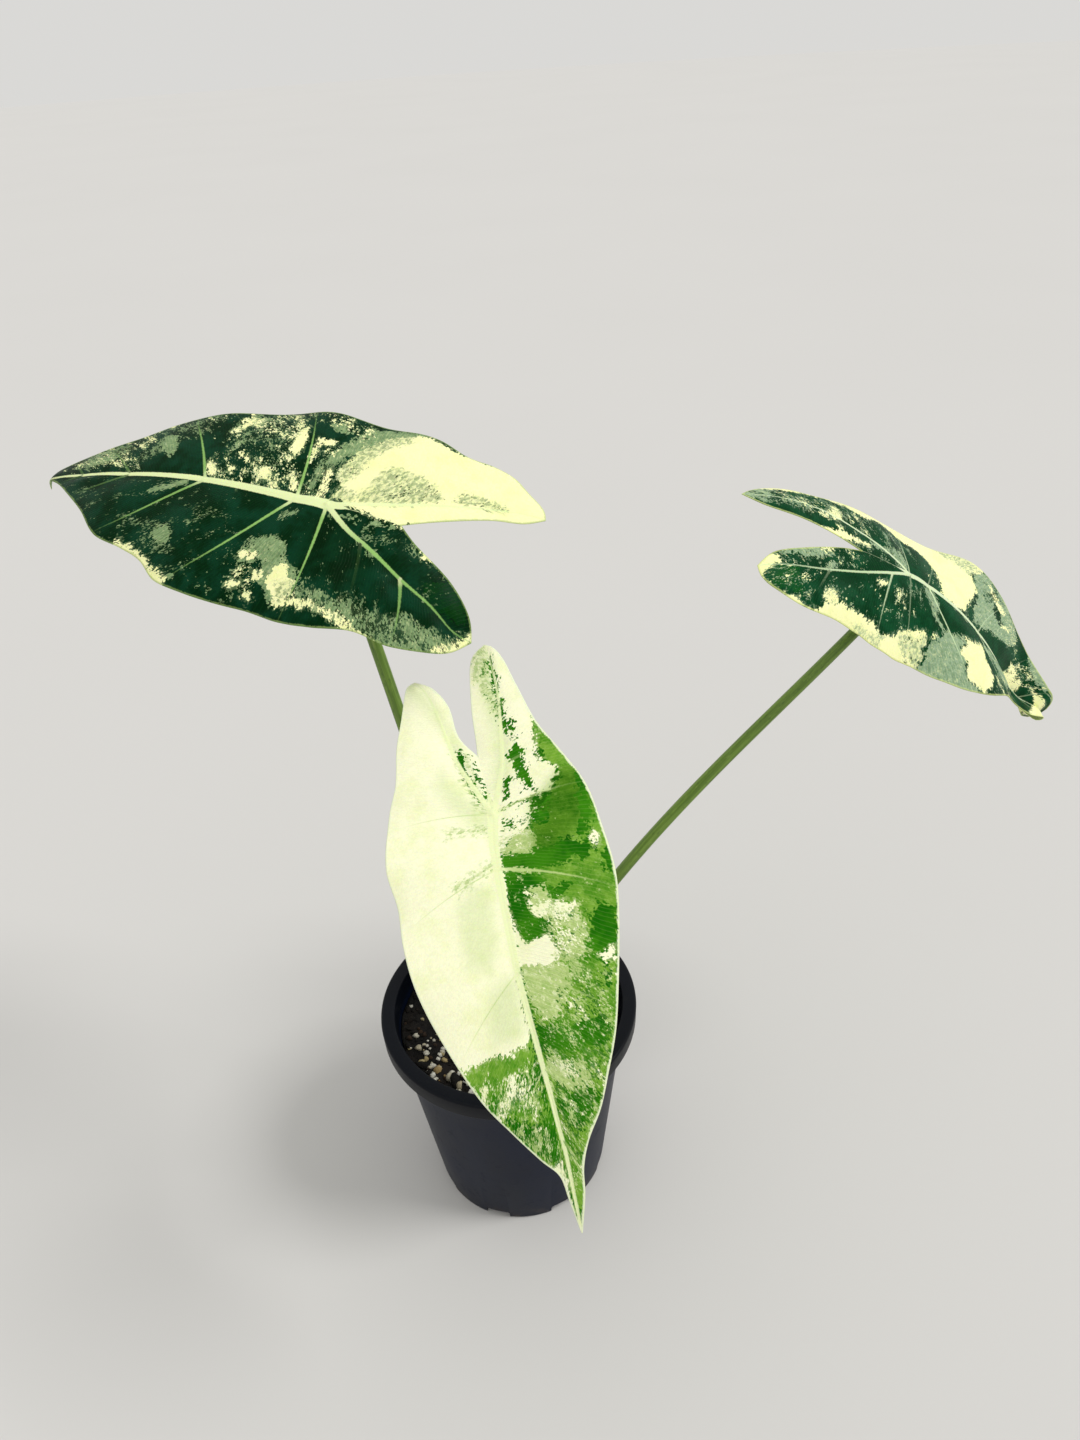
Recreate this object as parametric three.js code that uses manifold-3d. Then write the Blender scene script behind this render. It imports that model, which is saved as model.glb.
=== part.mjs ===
// A variegated Alocasia frydek with three arrow-shaped leaves, in its round nursery pot.
// Millimetres, +Z up. The origin is the middle of the pot's underside, and -Y is the plant's front.
import * as THREE from 'three';
import { mergeVertices } from 'three/addons/utils/BufferGeometryUtils.js';
import Module from 'manifold-3d';

const wasm = await Module();
wasm.setup();

// Pot
const rimRadius = 44.5;
const potHeight = 81.4;
const footRadius = 31;
const wallThickness = 1.2;
const lipWidth = 3.6;
const lipDrop = 6.5;
const drainSlots = 8;
const drainSlotWidth = 9;
const drainSlotHeight = 3.5;
const drainSlotDepth = 5;
const firstSlotAngle = -108;
const footBevel = 0.8;
const lipBevel = 0.6;
const potSides = 56;

// Potting mix
const soilTop = 73;
const soilUnevenness = 0.8;
const soilSectors = 36;
const soilRings = [0.22, 0.42, 0.6, 0.76, 0.9, 1];
const grainCount = 46;
const grainSize = [1.1, 2.4];
const grainSink = 0.25;
const gatheredShare = 0.6;
const gatheredAngles = [200, 260];
const gatheredRadii = [24, 37];
const looseRadii = [12, 37];

// Stem base and leaf stalks
const crownRadius = 7;
const crownTop = 81;
const crownFoot = 60;
const stalkSides = 10;
const stalkSteps = 26;
const crownTaper = 5;
const crownSides = 20;
const socketDepth = 9;

// Leaf blades
const bladeThickness = 0.9;
const midribDepth = 1.5;
const midribTaper = 0.75;
const costaTaper = 0.7;
const veinDepth = 0.7;
const veinTaper = 0.8;
const veinHalfWidth = 1.2;
const veinShareLimit = 0.3;
const shortWebLength = 15;
const droopPower = 1.25;
const swayPower = 1.3;
const webRows = 4;
const quiltHeight = 0.7;
const veinBow = 0.08;
const lobeRowShares = [0.08, 0.22, 0.42, 0.7];
const longRowShares = [0.25, 0.5, 0.75];
const shortRowShares = [0.35, 0.65];
const tipRowShares = [0.2, 0.38, 0.53, 0.66, 0.78, 0.89];
const longRow = 18;
const outerColumns = [0, 0.05, 0.22, 0.42, 0.62, 0.82, 1];
const innerColumns = [0, 0.05, 0.37, 0.7, 1];
const flankColumn = 0.05;
const fitGap = 0.3;

// Each blade is drawn flat, in millimetres, with the stalk's joint at 0,0 and the tip along +Y. A side lists
// its margin from the notch round the lobe to the tip. Laterals leave the midrib at the heights in forks and
// end on the margin at the heights in ends; those of a lobe are [height on its rib, height on its margin].
// The pose then bends the flat blade. Angles are in degrees, and from and to are shares of the way to the tip.
const leaves = {
  left: {
    seat: [-36, 14.5, 261.5],
    heading: 157,
    pitch: 9,
    roll: 19.5,
    droop: 30,
    tipBends: [{ from: 0.9, to: 1, angle: 40 }],
    lobeDroop: 35,
    twist: [0, 0],
    lobeTwist: 2,
    lean: 1,
    sway: 0,
    lobeLean: 6,
    notch: -21,
    tip: 111,
    forks: [0, 9, 38.5, 65.5, 86],
    lobeEnd: -54,
    halfWidth: 36,
    stalk: { base: [-3.2, 1.2], rise: [6, 2], radii: [2.3, 1.75] },
    right: {
      fold: 6,
      foldGain: 0,
      curl: -17.5,
      wave: { height: 1.2, length: 34, crest: 15 },
      inner: [[6.5, -31], [13, -41], [17, -49]],
      lobe: [22, -54],
      outer: [[25, -52], [28, -46.5], [32, -40.5], [33, -34], [31.5, -26], [34, -16.5], [36, -6], [35.5, 8],
        [35, 20], [33, 30], [29, 41], [25.5, 52], [21.5, 63], [13.5, 73], [8, 85], [4, 96], [1, 105]],
      costa: [[2.4, -8.5], [6, -18], [10.5, -28], [15.5, -38], [20, -48]],
      lobeLaterals: [[-38, -38], [-17, -17]],
      ends: [1, 22, 58, 82, 95],
    },
    left: {
      fold: -3,
      foldGain: 0,
      curl: -21.5,
      wave: { height: 1.3, length: 38, crest: 30 },
      inner: [[4.5, -27.5], [10.5, -40], [17, -49]],
      lobe: [23, -53.5],
      outer: [[28.5, -49.5], [31.5, -43], [33, -34], [32.5, -23], [36, -12], [37, -4], [35.5, 9], [36.5, 26],
        [34.5, 37.5], [29, 46], [26.5, 54], [24, 65], [16, 76], [10, 86], [4.5, 96], [1.2, 105]],
      costa: [[4.8, -8.5], [9.5, -17], [15.8, -28], [20, -38], [22.3, -47]],
      lobeLaterals: [[-29, -36], [-14, -19]],
      ends: [-3, 35, 66, 85, 96],
    },
  },
  front: {
    seat: [4.2, -52, 205],
    heading: -84,
    pitch: -33,
    roll: -6,
    droop: 37,
    tipBends: [],
    lobeDroop: 20,
    twist: [0, 0],
    lobeTwist: -7,
    lean: -5.5,
    sway: 0,
    lobeLean: 7,
    notch: -16,
    tip: 102,
    forks: [0, 11, 38.5, 61, 78],
    lobeEnd: -46,
    halfWidth: 27,
    stalk: { base: [0.4, -3.6], rise: [14, 6], radii: [2.2, 1.65] },
    right: {
      fold: 2,
      foldGain: 0,
      curl: -7.5,
      wave: { height: 0.8, length: 30, crest: 8 },
      inner: [[3.4, -23], [3.5, -33], [6, -40.5]],
      lobe: [9.9, -44.4],
      outer: [[12.5, -43], [14.5, -38], [16.5, -32], [19.5, -23], [22, -13], [25.5, -4], [27.5, 9], [26, 19],
        [26, 28], [24.5, 39], [21, 51], [15, 65.5], [9.5, 74.5], [4.5, 82], [1.2, 86.5], [0.6, 93]],
      costa: [[3.6, -9], [5.8, -17], [6.5, -25], [7, -33], [8.2, -40]],
      lobeLaterals: [[-27, -28], [-11, -13]],
      ends: [0, 26, 58, 76, 86],
    },
    left: {
      fold: 9,
      foldGain: 0,
      curl: -7.5,
      wave: { height: 0.8, length: 34, crest: 20 },
      inner: [[0.8, -21], [2.6, -32], [6.6, -46]],
      lobe: [11.7, -50.1],
      outer: [[13.5, -48], [14.8, -43], [15.5, -34], [17, -22], [20.5, -12.5], [24, -3.5], [26, 8],
        [27, 19.5], [25.5, 31], [22.5, 44], [19.5, 54.5], [15.5, 64], [12, 71.5], [7.5, 78.5], [4.7, 85],
        [3.2, 92]],
      costa: [[3.9, -8.5], [6.2, -15], [8.3, -24], [10.2, -33], [11.4, -43]],
      lobeLaterals: [[-29, -31], [-12, -15]],
      ends: [-4, 23, 50, 72, 85],
    },
  },
  right: {
    seat: [132.2, 32.8, 219.8],
    heading: 11,
    pitch: -35,
    roll: -19,
    droop: 46.5,
    tipBends: [{ from: 0.615, to: 0.9, angle: -41 }, { from: 0.9, to: 1, angle: 145 }],
    lobeDroop: 20,
    twist: [-7.5, -20],
    lobeTwist: 4,
    lean: 2,
    sway: 0.5,
    lobeLean: 0.5,
    notch: -20,
    tip: 95.5,
    forks: [0, 8, 35, 57, 75],
    lobeEnd: -56,
    halfWidth: 30,
    stalk: { base: [3.4, 2], rise: [26, 3], radii: [2.2, 1.7] },
    right: {
      fold: -14,
      foldGain: 58,
      curl: -25,
      wave: { height: 1.4, length: 36, crest: -14 },
      inner: [[1.8, -28], [5.4, -39.5], [9.6, -50.5]],
      lobe: [15.2, -56.3],
      outer: [[18.5, -55], [21.5, -51], [24, -43], [24.5, -30], [27.5, -21], [30, -14], [29.5, -5], [28, 5],
        [29, 16], [28, 25], [24.5, 35], [20.5, 45], [13, 58], [8.5, 70], [7.5, 79], [5.2, 86.5], [2.5, 91]],
      costa: [[3.5, -9], [8, -21], [11, -34], [13, -46]],
      lobeLaterals: [[-32, -38], [-10, -14]],
      ends: [2, 33, 54, 72, 87],
    },
    left: {
      fold: 7,
      foldGain: 50,
      curl: -19,
      wave: { height: 2, length: 66, crest: 42 },
      inner: [[2.8, -27.5], [6.4, -39], [9, -50.5]],
      lobe: [13.2, -57.4],
      outer: [[16, -54.5], [19, -49.5], [20.8, -42], [20, -31], [21.2, -18], [23, -5], [27, 7], [26, 20],
        [28.5, 34], [27.5, 41], [23, 49], [17.5, 58], [14.5, 67], [10.8, 77], [6.8, 86], [3, 91]],
      costa: [[3.2, -5.8], [6.8, -13], [9.2, -20.5], [13.2, -32], [14.7, -45]],
      lobeLaterals: [[-34, -38], [-14, -16]],
      ends: [3, 26, 53, 72, 87],
    },
  },
};

function material(color, roughness) {
  return new THREE.MeshStandardMaterial({ color, roughness, metalness: 0 });
}

function solidOf(geometry) {
  const bare = geometry.clone();
  bare.deleteAttribute('normal');
  bare.deleteAttribute('uv');
  const merged = mergeVertices(bare, 1e-4);
  return new wasm.Manifold(new wasm.Mesh({
    numProp: 3,
    vertProperties: new Float32Array(merged.attributes.position.array),
    triVerts: new Uint32Array(merged.index.array),
  }));
}

function geometryOf(solid) {
  const mesh = solid.getMesh();
  const geometry = new THREE.BufferGeometry();
  geometry.setAttribute('position', new THREE.BufferAttribute(new Float32Array(mesh.vertProperties), 3));
  geometry.setIndex(new THREE.BufferAttribute(new Uint32Array(mesh.triVerts), 1));
  return geometry;
}

function lathe(profile, segments) {
  const points = profile.map(([radius, height]) => new THREE.Vector2(radius, height));
  return new THREE.LatheGeometry(points, segments).rotateX(Math.PI / 2);
}

// A small repeatable random source, so that every build is the same.
function randomSource(seed) {
  let state = seed;
  return () => {
    state = (state * 1664525 + 1013904223) % 4294967296;
    return state / 4294967296;
  };
}

function wallRadius(height) {
  const lipInner = rimRadius - lipWidth;
  return footRadius + (lipInner - footRadius) * (height / potHeight);
}

// A thin tapered wall with a flat foot and a wide turned-down lip, and slots through the foot for drainage.
function potGeometry() {
  const inner = (height) => wallRadius(height) - wallThickness;
  const skirtInner = rimRadius - wallThickness;
  const shell = solidOf(lathe([
    [0, 0],
    [footRadius - footBevel, 0],
    [footRadius, footBevel],
    [wallRadius(potHeight - wallThickness), potHeight - wallThickness],
    [skirtInner, potHeight - wallThickness],
    [skirtInner, potHeight - lipDrop],
    [rimRadius - lipBevel / 2, potHeight - lipDrop],
    [rimRadius, potHeight - lipBevel],
    [rimRadius - lipBevel, potHeight],
    [inner(potHeight) + lipBevel, potHeight],
    [inner(potHeight), potHeight - lipBevel],
    [inner(wallThickness), wallThickness],
    [0, wallThickness],
  ], potSides));
  let pot = shell;
  for (let i = 0; i < drainSlots; i += 1) {
    const slot = new THREE.BoxGeometry(drainSlotDepth * 2, drainSlotWidth, drainSlotHeight * 2);
    slot.translate(footRadius, 0, 0);
    slot.rotateZ((firstSlotAngle + (i * 360) / drainSlots) * THREE.MathUtils.DEG2RAD);
    pot = pot.subtract(solidOf(slot));
  }
  return geometryOf(pot);
}

function soilHeight(x, y) {
  const ripple = Math.sin(x * 0.31 + 1) * Math.cos(y * 0.27) + 0.6 * Math.sin(x * 0.71 - y * 0.53);
  return soilTop + soilUnevenness * ripple * 0.6;
}

// The plug of potting mix: an uneven top, the pot's taper, and a plain hole for the stem base.
function soilGeometry() {
  const bottom = wallThickness + fitGap;
  const edgeAt = (height) => wallRadius(height) - wallThickness - fitGap;
  const ring = (radius, heightAt) => Array.from({ length: soilSectors }, (_, i) => {
    const angle = (i / soilSectors) * 2 * Math.PI;
    const x = radius * Math.cos(angle);
    const y = radius * Math.sin(angle);
    return [x, y, heightAt(x, y)];
  });
  const points = [
    [0, 0, soilHeight(0, 0)],
    ...soilRings.flatMap((share) => ring(share * edgeAt(soilTop - soilUnevenness), soilHeight)),
    ...ring(edgeAt(bottom), () => bottom),
    [0, 0, bottom],
  ];
  const faces = [];
  const last = soilRings.length;
  const at = (r, i) => 1 + r * soilSectors + (i % soilSectors);
  for (let i = 0; i < soilSectors; i += 1) {
    faces.push(0, at(0, i), at(0, i + 1));
    for (let r = 0; r < last; r += 1) {
      faces.push(at(r, i), at(r + 1, i), at(r + 1, i + 1));
      faces.push(at(r, i), at(r + 1, i + 1), at(r, i + 1));
    }
    faces.push(at(last, i), points.length - 1, at(last, i + 1));
  }
  const geometry = new THREE.BufferGeometry();
  geometry.setAttribute('position', new THREE.Float32BufferAttribute(points.flat(), 3));
  geometry.setIndex(faces);
  let soil = solidOf(geometry).subtract(solidOf(crownShape(fitGap)));
  perliteGrains().forEach((grain) => {
    soil = soil.add(grain);
  });
  return geometryOf(soil);
}

// Perlite: small lumps, more than half sunk in the mix, thicker at the front left.
function perliteGrains() {
  const random = randomSource(71);
  const between = ([low, high]) => low + (high - low) * random();
  const grains = [];
  while (grains.length < grainCount) {
    const gathered = grains.length < grainCount * gatheredShare;
    const angle = (gathered ? between(gatheredAngles) : between([0, 360])) * THREE.MathUtils.DEG2RAD;
    const radius = gathered ? between(gatheredRadii) : between(looseRadii);
    const size = between(grainSize);
    const lump = new THREE.OctahedronGeometry(size, 0);
    lump.rotateX(between([0, Math.PI])).rotateY(between([0, Math.PI]));
    lump.scale(1, between([0.75, 1.1]), between([0.7, 1]));
    const x = radius * Math.cos(angle);
    const y = radius * Math.sin(angle);
    lump.translate(x, y, soilHeight(x, y) - grainSink * size);
    grains.push(solidOf(lump));
  }
  return grains;
}

// The short stem base that the stalks rise from, wider by clearance where it is used to bore its own hole.
function crownShape(clearance) {
  return lathe([
    [0, crownFoot - clearance],
    [crownRadius * 0.55 + clearance, crownFoot - clearance],
    [crownRadius + clearance, crownFoot + crownTaper - clearance],
    [crownRadius + clearance, soilTop - 2],
    [crownRadius * 0.9 + clearance, soilTop + 4],
    [crownRadius * 0.72 + clearance, crownTop + clearance],
    [0, crownTop + clearance],
  ], crownSides);
}

function crownGeometry(stalks) {
  let crown = solidOf(crownShape(0));
  stalks.forEach(({ curve, radii }) => {
    const socket = tubeGeometry(curve, radii.map((radius) => radius + fitGap), fitGap);
    crown = crown.subtract(solidOf(socket));
  });
  return geometryOf(crown);
}

// A closed tapered round tube along a curve; reach lengthens its foot end.
function tubeGeometry(curve, radii, reach = 0) {
  const frames = curve.computeFrenetFrames(stalkSteps, false);
  const points = [];
  for (let step = 0; step <= stalkSteps; step += 1) {
    const share = step / stalkSteps;
    const centre = curve.getPointAt(share);
    if (step === 0) centre.addScaledVector(frames.tangents[0], -reach);
    const radius = radii[0] + (radii[1] - radii[0]) * share ** 0.7;
    for (let side = 0; side < stalkSides; side += 1) {
      const angle = (side / stalkSides) * 2 * Math.PI;
      points.push(centre.clone()
        .addScaledVector(frames.normals[step], radius * Math.cos(angle))
        .addScaledVector(frames.binormals[step], radius * Math.sin(angle)));
    }
  }
  const faces = [];
  const at = (step, side) => step * stalkSides + (side % stalkSides);
  for (let step = 0; step < stalkSteps; step += 1) {
    for (let side = 0; side < stalkSides; side += 1) {
      faces.push(at(step, side), at(step + 1, side + 1), at(step + 1, side));
      faces.push(at(step, side), at(step, side + 1), at(step + 1, side + 1));
    }
  }
  for (let side = 1; side < stalkSides - 1; side += 1) {
    faces.push(at(0, 0), at(0, side + 1), at(0, side));
    faces.push(at(stalkSteps, 0), at(stalkSteps, side), at(stalkSteps, side + 1));
  }
  const geometry = new THREE.BufferGeometry();
  geometry.setAttribute('position', new THREE.Float32BufferAttribute(points.flatMap((p) => p.toArray()), 3));
  geometry.setIndex(faces);
  return geometry;
}

// A stalk runs from its socket in the stem base to the blade's underside, bowed up from the straight line
// between them by rise, in millimetres, a third and two thirds of the way along.
function stalkOf(leaf) {
  const [x, y] = leaf.stalk.base;
  const foot = new THREE.Vector3(x, y, crownTop - socketDepth);
  const seat = new THREE.Vector3(...leaf.seat).addScaledVector(bladePose(leaf).up, -bladeThickness / 3);
  const bowed = (share, rise) => foot.clone().lerp(seat, share).add(new THREE.Vector3(0, 0, rise));
  const curve = new THREE.CubicBezierCurve3(
    foot,
    bowed(1 / 3, leaf.stalk.rise[0]),
    bowed(2 / 3, leaf.stalk.rise[1]),
    seat,
  );
  return { curve, radii: leaf.stalk.radii };
}

function stalkGeometry(leaf, stalk) {
  const tube = solidOf(tubeGeometry(stalk.curve, stalk.radii));
  const parts = tube.subtract(solidOf(bladeGeometry(leaf, fitGap))).decompose();
  parts.sort((a, b) => b.volume() - a.volume());
  return geometryOf(parts[0]);
}

// The blade's axes at the joint: along the midrib to the tip, to its right, and out of its upper face.
function bladePose(leaf) {
  const heading = leaf.heading * THREE.MathUtils.DEG2RAD;
  const pitch = leaf.pitch * THREE.MathUtils.DEG2RAD;
  const toTip = new THREE.Vector3(
    Math.cos(heading) * Math.cos(pitch),
    Math.sin(heading) * Math.cos(pitch),
    Math.sin(pitch),
  );
  const level = new THREE.Vector3(Math.sin(heading), -Math.cos(heading), 0);
  const right = level.clone().applyAxisAngle(toTip, -leaf.roll * THREE.MathUtils.DEG2RAD);
  const up = new THREE.Vector3().crossVectors(right, toTip);
  return { toTip, right, up };
}

// How far the midrib has bent down at a height along it, in radians.
function droopAt(leaf, y) {
  const share = y / leaf.tip;
  const turned = leaf.tipBends.reduce(
    (sum, { from, to, angle }) => sum + angle * THREE.MathUtils.smoothstep(share, from, to),
    0,
  );
  const bend = y >= 0 ? leaf.droop * share ** droopPower + turned : (leaf.lobeDroop * y) / -leaf.lobeEnd;
  return bend * THREE.MathUtils.DEG2RAD;
}

// The midrib's line in its own upright plane, as [along, down], stepped off millimetre by millimetre.
function midribLine(leaf) {
  const line = new Map([[0, [0, 0]]]);
  [1, -1].forEach((way) => {
    let along = 0;
    let down = 0;
    for (let step = 1; step <= 120; step += 1) {
      const bend = droopAt(leaf, way * (step - 0.5));
      along += way * Math.cos(bend);
      down += way * Math.sin(bend);
      line.set(way * step, [along, down]);
    }
  });
  return line;
}

function midribPoint(line, y) {
  const low = Math.floor(y);
  const [a, b] = [line.get(low), line.get(low + 1)];
  return [a[0] + (b[0] - a[0]) * (y - low), a[1] + (b[1] - a[1]) * (y - low)];
}

// Carries a flat point of the blade to its place in the air.
function bentPoint(leaf, pose, line, x, y, lift) {
  const side = x >= 0 ? leaf.right : leaf.left;
  const ahead = Math.max(y, 0) / leaf.tip;
  const behind = Math.max(-y, 0) / -leaf.lobeEnd;
  const [along, down] = midribPoint(line, y);
  const bend = droopAt(leaf, y);
  const normal = pose.toTip.clone().multiplyScalar(Math.sin(bend)).addScaledVector(pose.up, Math.cos(bend));
  const sideways = leaf.lean * ahead ** 2 + leaf.sway * Math.sin(Math.PI * Math.min(ahead, 1) ** swayPower)
    + leaf.lobeLean * behind ** swayPower;
  const twist = (leaf.twist[0] * ahead + leaf.twist[1] * ahead ** 3 + leaf.lobeTwist * behind)
    * THREE.MathUtils.DEG2RAD;
  const fold = (side.fold + side.foldGain * ahead ** 2) * THREE.MathUtils.DEG2RAD;
  const curl = (side.curl * THREE.MathUtils.DEG2RAD) / leaf.halfWidth;
  const reach = Math.abs(x);
  const out = ((Math.sin(fold + curl * reach) - Math.sin(fold)) / curl) * Math.sign(x);
  const rise = (Math.cos(fold) - Math.cos(fold + curl * reach)) / curl
    + side.wave.height * (reach / leaf.halfWidth) ** 2
    * Math.cos((2 * Math.PI * (y - side.wave.crest)) / side.wave.length) + lift;
  const across = pose.right.clone().multiplyScalar(Math.cos(twist)).addScaledVector(normal, Math.sin(twist));
  const over = normal.clone().multiplyScalar(Math.cos(twist)).addScaledVector(pose.right, -Math.sin(twist));
  return new THREE.Vector3(...leaf.seat)
    .addScaledVector(pose.toTip, along)
    .addScaledVector(pose.up, -down)
    .addScaledVector(pose.right, sideways)
    .addScaledVector(across, out)
    .addScaledVector(over, rise);
}

// The point at height y on a smooth line of points whose heights only rise or only fall.
function shareAtHeight(curve, y) {
  let low = 0;
  let high = 1;
  const rising = curve.getPoint(1).y > curve.getPoint(0).y;
  for (let i = 0; i < 40; i += 1) {
    const middle = (low + high) / 2;
    if ((curve.getPoint(middle).y < y) === rising) low = middle;
    else high = middle;
  }
  return (low + high) / 2;
}

function flatCurve(points, way) {
  return new THREE.SplineCurve(points.map(([x, y]) => new THREE.Vector2(x * way, y)));
}

function lateralsOf(leaf, half) {
  return [...half.lobeLaterals, ...leaf.forks.map((start, i) => [start, half.ends[i]])];
}

// The rows of one half: [height on the rib, share along the margin, how much of a vein it is].
function halfRows(leaf, half, margin) {
  const rows = [[half.lobe[1], 0, 0]];
  const stops = lateralsOf(leaf, half).map(([start, end]) => [start, shareAtHeight(margin, end)]);
  stops.push([leaf.tip, 1]);
  let previous = [half.lobe[1], 0];
  stops.forEach(([start, share], i) => {
    const length = start - previous[0];
    const slip = Math.min(veinHalfWidth / length, veinShareLimit);
    let middles = length > longRow ? longRowShares : shortRowShares;
    if (i === 0) middles = lobeRowShares;
    if (i === stops.length - 1) middles = tipRowShares;
    const between = (f, vein) => [previous[0] + length * f, previous[1] + (share - previous[1]) * f, vein];
    if (i > 0) rows.push(between(slip, 0));
    middles.forEach((f) => rows.push(between(f, 0)));
    if (i < stops.length - 1) {
      rows.push(between(1 - slip, 0));
      rows.push([start, share, 1]);
    }
    previous = [start, share];
  });
  rows.push([leaf.tip, 1, 0]);
  return rows;
}

// One half of the flat blade as strips from the rib to the margin, each point as {x, y, ridge, lift}.
function halfStrips(leaf, half, way) {
  const margin = flatCurve([half.lobe, ...half.outer, [0, leaf.tip]], way);
  const costa = flatCurve([[0, 0], ...half.costa, half.lobe], way);
  const sinus = flatCurve([[0, leaf.notch], ...half.inner, half.lobe], way);
  const rows = halfRows(leaf, half, margin);
  const ribPoint = (y) => (y >= 0 ? new THREE.Vector2(0, y) : costa.getPoint(shareAtHeight(costa, y)));
  const ribTaper = (y) => (y >= 0 ? midribTaper * (y / leaf.tip) : costaTaper * (y / half.lobe[1]));
  const anchors = [half.lobe[1], ...lateralsOf(leaf, half).map(([start]) => start), leaf.tip];
  const quilt = (y) => {
    const i = Math.max(0, anchors.findIndex((anchor, k) => y <= anchors[k + 1]));
    return Math.sin((Math.PI * (y - anchors[i])) / (anchors[i + 1] - anchors[i])) ** 2;
  };
  const strip = (start, end, vein, shares, y) => {
    const length = start.distanceTo(end);
    const bow = new THREE.Vector2(0, -veinBow * length);
    const control = start.clone().add(end).multiplyScalar(0.5).add(bow);
    return shares.map((share) => {
      const f = share === flankColumn ? Math.min(veinHalfWidth / (length + 0.01), veinShareLimit) : share;
      const point = start.clone().multiplyScalar((1 - f) ** 2)
        .addScaledVector(control, 2 * f * (1 - f))
        .addScaledVector(end, f * f);
      const ridge = f === 0 ? midribDepth * (1 - ribTaper(y)) : vein * veinDepth * (1 - veinTaper * f);
      const lift = quiltHeight * quilt(y) * Math.sin(Math.PI * f) * Math.min(1, length / shortWebLength);
      return { x: point.x, y: point.y, ridge, lift };
    });
  };
  const outer = rows.map(([y, share, vein]) => {
    return strip(ribPoint(y), margin.getPoint(share), vein, outerColumns, y);
  });
  const lobeRows = rows.filter(([y]) => y <= 0);
  const notchRow = lobeRows.length - 1 - webRows;
  const inner = lobeRows.map(([y], i) => {
    const end = i <= notchRow
      ? sinus.getPoint(1 - i / notchRow)
      : new THREE.Vector2(0, (leaf.notch * (lobeRows.length - 1 - i)) / webRows);
    return strip(ribPoint(y), end, 0, innerColumns, y);
  });
  return { outer, inner };
}

// The blade as one closed body: an upper and a lower face split alike, joined round the margin.
function bladeGeometry(leaf, clearance = 0) {
  const pose = bladePose(leaf);
  const line = midribLine(leaf);
  const keys = new Map();
  const upper = [];
  const lower = [];
  const triangles = [];
  const place = ({ x, y, ridge, lift }) => {
    const key = `${(x + 500).toFixed(3)} ${(y + 500).toFixed(3)}`;
    if (keys.has(key)) return keys.get(key);
    const point = bentPoint(leaf, pose, line, x, y, lift);
    const step = x < 0 ? -0.5 : 0.5;
    const alongX = bentPoint(leaf, pose, line, x + step, y, lift).sub(point).multiplyScalar(Math.sign(step));
    const alongY = bentPoint(leaf, pose, line, x, y + 0.5, lift).sub(point);
    const normal = alongX.cross(alongY).normalize();
    const half = bladeThickness / 2 + clearance;
    upper.push(point.clone().addScaledVector(normal, half));
    lower.push(point.clone().addScaledVector(normal, -half - ridge));
    keys.set(key, upper.length - 1);
    return upper.length - 1;
  };
  const triangle = (a, b, c, flip) => {
    if (a === b || b === c || a === c) return;
    triangles.push(flip ? [a, c, b] : [a, b, c]);
  };
  const fill = (strips, flip) => {
    const rows = strips.map((strip) => strip.map(place));
    for (let r = 0; r < rows.length - 1; r += 1) {
      for (let c = 0; c < rows[r].length - 1; c += 1) {
        triangle(rows[r][c], rows[r][c + 1], rows[r + 1][c + 1], flip);
        triangle(rows[r][c], rows[r + 1][c + 1], rows[r + 1][c], flip);
      }
    }
  };
  [[leaf.right, 1], [leaf.left, -1]].forEach(([half, way]) => {
    const { outer, inner } = halfStrips(leaf, half, way);
    fill(outer, way < 0);
    fill(inner, way > 0);
  });
  return closedSheet(upper, lower, triangles);
}

function closedSheet(upper, lower, triangles) {
  const count = upper.length;
  const edges = new Map();
  const index = [];
  triangles.forEach(([a, b, c]) => {
    index.push(a, b, c, a + count, c + count, b + count);
    [[a, b], [b, c], [c, a]].forEach(([from, to]) => edges.set(`${from} ${to}`, [from, to]));
  });
  edges.forEach(([from, to]) => {
    if (edges.has(`${to} ${from}`)) return;
    index.push(from, from + count, to + count, from, to + count, to);
  });
  const geometry = new THREE.BufferGeometry();
  const points = [...upper, ...lower].flatMap((p) => p.toArray());
  geometry.setAttribute('position', new THREE.Float32BufferAttribute(points, 3));
  geometry.setIndex(index);
  return geometry;
}

function addMesh(group, name, geometry, meshMaterial) {
  const mesh = new THREE.Mesh(geometry, meshMaterial);
  mesh.name = name;
  group.add(mesh);
}

const plant = new THREE.Group();
const plastic = material(0x16181c, 0.5);
const mix = material(0x15110e, 0.95);
const stalkGreen = material(0x6f9a3c, 0.45);
const bladeColors = { left: 0x1c4a30, front: 0xc9d99a, right: 0x24563a };
const stalks = Object.values(leaves).map(stalkOf);

addMesh(plant, 'pot', potGeometry(), plastic);
addMesh(plant, 'soil', soilGeometry(), mix);
addMesh(plant, 'crown', crownGeometry(stalks), stalkGreen);
Object.entries(leaves).forEach(([name, leaf], i) => {
  addMesh(plant, `petiole_${name}`, stalkGeometry(leaf, stalks[i]), stalkGreen);
  addMesh(plant, `leaf_${name}`, bladeGeometry(leaf), material(bladeColors[name], 0.5));
});

export default plant;
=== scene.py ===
import math
from statistics import NormalDist

import bmesh
import bpy
import numpy as np
from mathutils import Matrix, Vector, noise


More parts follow.
